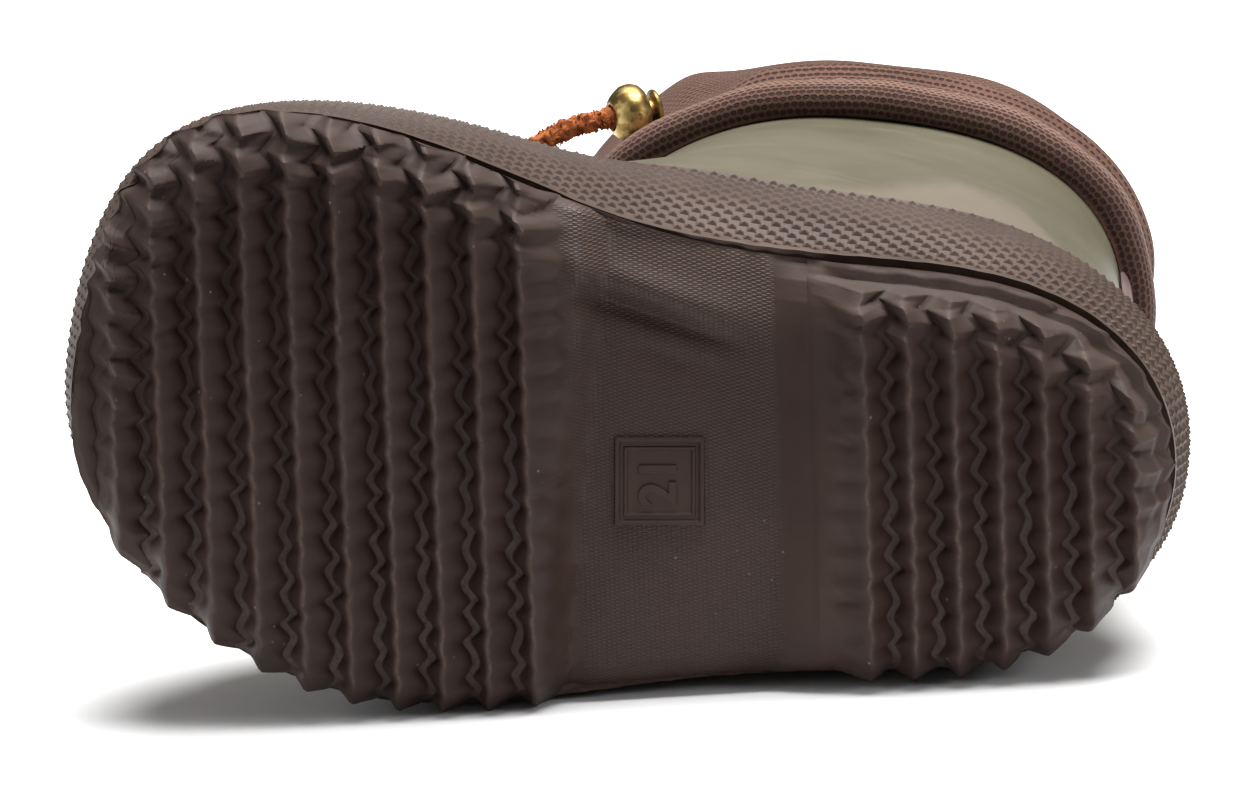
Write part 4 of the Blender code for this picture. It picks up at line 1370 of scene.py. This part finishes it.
def makeStitches():
    steps, sides, pitchSteps, look = (hemStitches[key] for key in ("steps", "sides", "pitchSteps", "look"))
    angles, _ = evenAngles(cuffSleeve["evenAt"], hemStitches["count"] * pitchSteps)
    ring = levelRing(hemStitches["height"], hemStitches["standOff"], angles)[:-1]
    centre = ring.mean(axis=0)
    total = len(ring)
    points, faces = [], []
    for k in range(hemStitches["count"]):
        first = len(points)
        for n in range(steps):
            t = n / (steps - 1)
            i = int(round((k + (t - 0.5) * hemStitches["share"]) * pitchSteps)) % total
            ahead = unit(ring[(i + look) % total] - ring[i - look])
            out = ring[i] - centre
            out = unit(out - ahead * (out @ ahead))
            up = np.cross(out, ahead)
            middle = ring[i] + out * hemStitches["bow"] * (4 * t * (1 - t) - 1)
            for turn in np.arange(sides) / sides * math.tau:
                points.append(middle + (out * math.cos(turn) + up * math.sin(turn)) * hemStitches["radius"])
        for n in range(steps - 1):
            for m in range(sides):
                a, b = first + n * sides + m, first + n * sides + (m + 1) % sides
                faces.append((a, b, b + sides, a + sides))
    return rawPiece("hem_stitches", toWorld(points).tolist(), faces)


def threadFinish():
    thread = Finish("hemThread", Roughness=0.8, Specular_IOR_Level=0.2)
    tones = hemStitches["tones"]
    twist = thread.place().noise(2200.0, 2.0)
    return thread.feed(Base_Color=twist.between(0.35, 0.65).mix(tones["dark"], tones["light"]))


settle(makeStitches(), threadFinish(), "cuff_cloth", angle=60)
print("stitches made")


# studs: turned brass, spun about their axis

brassStud = {
    "seat": (70.8, 25.6, 114.8),
    "axis": (0.92, -0.20, -0.33),
    "profile": (  # along, radius
        (-0.6, 0.0), (-0.6, 0.9), (0.0, 0.9), (0.0, 2.7), (0.15, 2.9), (0.4, 3.0), (0.65, 2.9), (0.8, 2.6),
        (0.95, 1.7), (1.2, 1.5), (1.45, 1.5), (1.6, 1.8), (1.75, 2.6), (2.1, 3.4), (2.7, 4.05), (3.4, 4.35),
        (4.2, 4.4), (5.0, 4.25), (5.8, 3.8), (6.5, 3.2), (7.0, 2.65), (7.2, 2.3), (7.2, 2.05), (7.05, 1.9),
        (4.2, 1.9), (4.2, 0.0),
    ),
    "turns": 48,
    "mergeReach": 0.000005,
    "tones": {"dark": (0.235, 0.152, 0.048), "light": (0.52, 0.385, 0.155)},
}


def brassFinish():
    brass = Finish("studBrass", Metallic=1.0)
    place, tones = brass.place(), brassStud["tones"]
    cloud = place.noise(520.0, 4.0, 0.6)
    scratch = place.scaled((1.0, 4.0, 1.0)).noise(2400.0, 3.0)
    tone = cloud.between(0.42, 0.62).mix(tones["dark"], tones["light"])
    skinBump = (cloud + scratch * 0.4).bump(0.22, 0.0003)
    return brass.feed(Base_Color=tone, Roughness=0.28 + cloud * 0.22, Normal=skinBump)


def makeStud(name, mirror, material, node):
    flip = np.array([1.0, -1.0, 1.0]) if mirror else np.ones(3)
    seat = Vector(toWorld(np.array(brassStud["seat"]) * flip))
    axis = Vector(bootTurn @ (np.array(brassStud["axis"]) * flip)).normalized()
    side = axis.cross(Vector((0, 1, 0))).normalized()
    line = [seat + (axis * a + side * r) * mm for a, r in brassStud["profile"]]
    stud = rawPiece(name, line, [], [(n, n + 1) for n in range(len(line) - 1)])
    pick(stud)
    bpy.ops.object.mode_set(mode="EDIT")
    bpy.ops.mesh.select_all(action="SELECT")
    bpy.ops.mesh.spin(steps=brassStud["turns"], angle=math.tau, center=seat, axis=axis)
    bpy.ops.mesh.select_all(action="SELECT")
    bpy.ops.mesh.remove_doubles(threshold=brassStud["mergeReach"])
    bpy.ops.mesh.normals_make_consistent(inside=False)
    bpy.ops.object.mode_set(mode="OBJECT")
    settle(stud, material, "stud_brass", node, angle=40)


studBrass = brassFinish()
makeStud("stud_medial", False, studBrass, "bead_medial")
makeStud("stud_lateral", True, studBrass, "bead_lateral")
print("studs made")


# insole and lining

innerParts = {
    "mergeReach": 0.00001,
    "flatWithin": 1.0,  # degrees
    "insoleBevel": 0.0009,
    "bevelSegments": 3,
    "bevelFrom": 50.0,  # degrees
    "liningFoot": 0.42,  # section where the lining starts
    "liningGap": 0.25,
    "liningThick": 0.7,
    "liningColumns": 120,
    "liningRows": 80,
    "liningRim": (  # height, stand-off from the shaft
        (140.4, -2.5), (141.1, -1.5), (141.2, -0.5), (140.7, 0.15), (139.6, 0.1), (138.95, -0.8),
    ),
    "knit": (1.15, 0.8),  # width and height of a loop
    "feltTones": {"dark": (0.25, 0.185, 0.125), "light": (0.36, 0.28, 0.20)},
    "knitTones": {"dark": (0.36, 0.30, 0.235), "light": (0.46, 0.40, 0.325), "rib": (0.20, 0.155, 0.115)},
}


def feltFinish():
    felt = Finish("insoleFelt", Roughness=0.95, Sheen_Weight=0.4)
    place, tones = felt.place(), innerParts["feltTones"]
    clump, fibre = place.noise(420.0, 4.0), place.noise(3000.0, 2.0)
    tone = clump.between(0.3, 0.7).mix(tones["dark"], tones["light"])
    return felt.feed(Base_Color=tone, Normal=(clump + fibre * 0.6).bump(0.5, 0.0004))


def liningFinish():
    knit = Finish("liningKnit", Roughness=0.9, Sheen_Weight=0.3)
    place, (along, up) = knit.place(), knit.uv()
    tones = innerParts["knitTones"]
    loopWide, loopTall = innerParts["knit"]
    column = along / loopWide
    rib = (column.fraction() - 0.5).size().between(0.05, 0.5)
    loopRow = ((up / loopTall + column.floor() * 0.5).fraction() - 0.5).size().between(0.1, 0.5)
    fibre = place.noise(2600.0, 3.0)
    tone = place.noise(50.0, 3.0).between(0.3, 0.7).mix(tones["dark"], tones["light"])
    tone = (rib * 0.5).mix(tone, tones["rib"])
    return knit.feed(Base_Color=tone, Normal=((1 - rib) + loopRow * 0.5 + fibre * 0.4).bump(0.6, 0.0004))


def makeInsole():  # the solid, merged and rounded
    pad = frame["nodes"]["insole"].copy()
    pad.data = pad.data.copy()
    pad.name = "insole_felt_pad"
    pad.parent = None
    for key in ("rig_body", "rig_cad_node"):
        del pad[key]
    bpy.context.scene.collection.objects.link(pad)
    pick(pad)
    bpy.ops.object.mode_set(mode="EDIT")
    bpy.ops.mesh.select_all(action="SELECT")
    bpy.ops.mesh.remove_doubles(threshold=innerParts["mergeReach"])
    bpy.ops.mesh.dissolve_limited(angle_limit=math.radians(innerParts["flatWithin"]))
    bpy.ops.object.mode_set(mode="OBJECT")
    rounding = pad.modifiers.new("rounding", "BEVEL")
    rounding.width = innerParts["insoleBevel"]
    rounding.segments = innerParts["bevelSegments"]
    rounding.limit_method = "ANGLE"
    rounding.angle_limit = math.radians(innerParts["bevelFrom"])
    bpy.ops.object.modifier_apply(modifier="rounding")
    return pad


def makeLining():
    angles, run = evenAngles(upperWall["evenAt"], innerParts["liningColumns"])
    sections = np.linspace(innerParts["liningFoot"], lastSection, innerParts["liningRows"])
    points, normals = skinGrid(sections, angles)
    near = points - normals * (upperWall["thick"] + innerParts["liningGap"])
    far = near - normals * innerParts["liningThick"]
    rim = [levelRing(z, off, angles) for z, off in innerParts["liningRim"]]
    loop = np.concatenate([far, rim, near[::-1], far[:1]])
    return gridPiece("lining_knit", loop, bandUv(loop, run))


settle(makeInsole(), feltFinish(), "insole_felt", "insole", angle=40)
settle(makeLining(), liningFinish(), "cuff_cloth", angle=60)
print("insole and lining made")
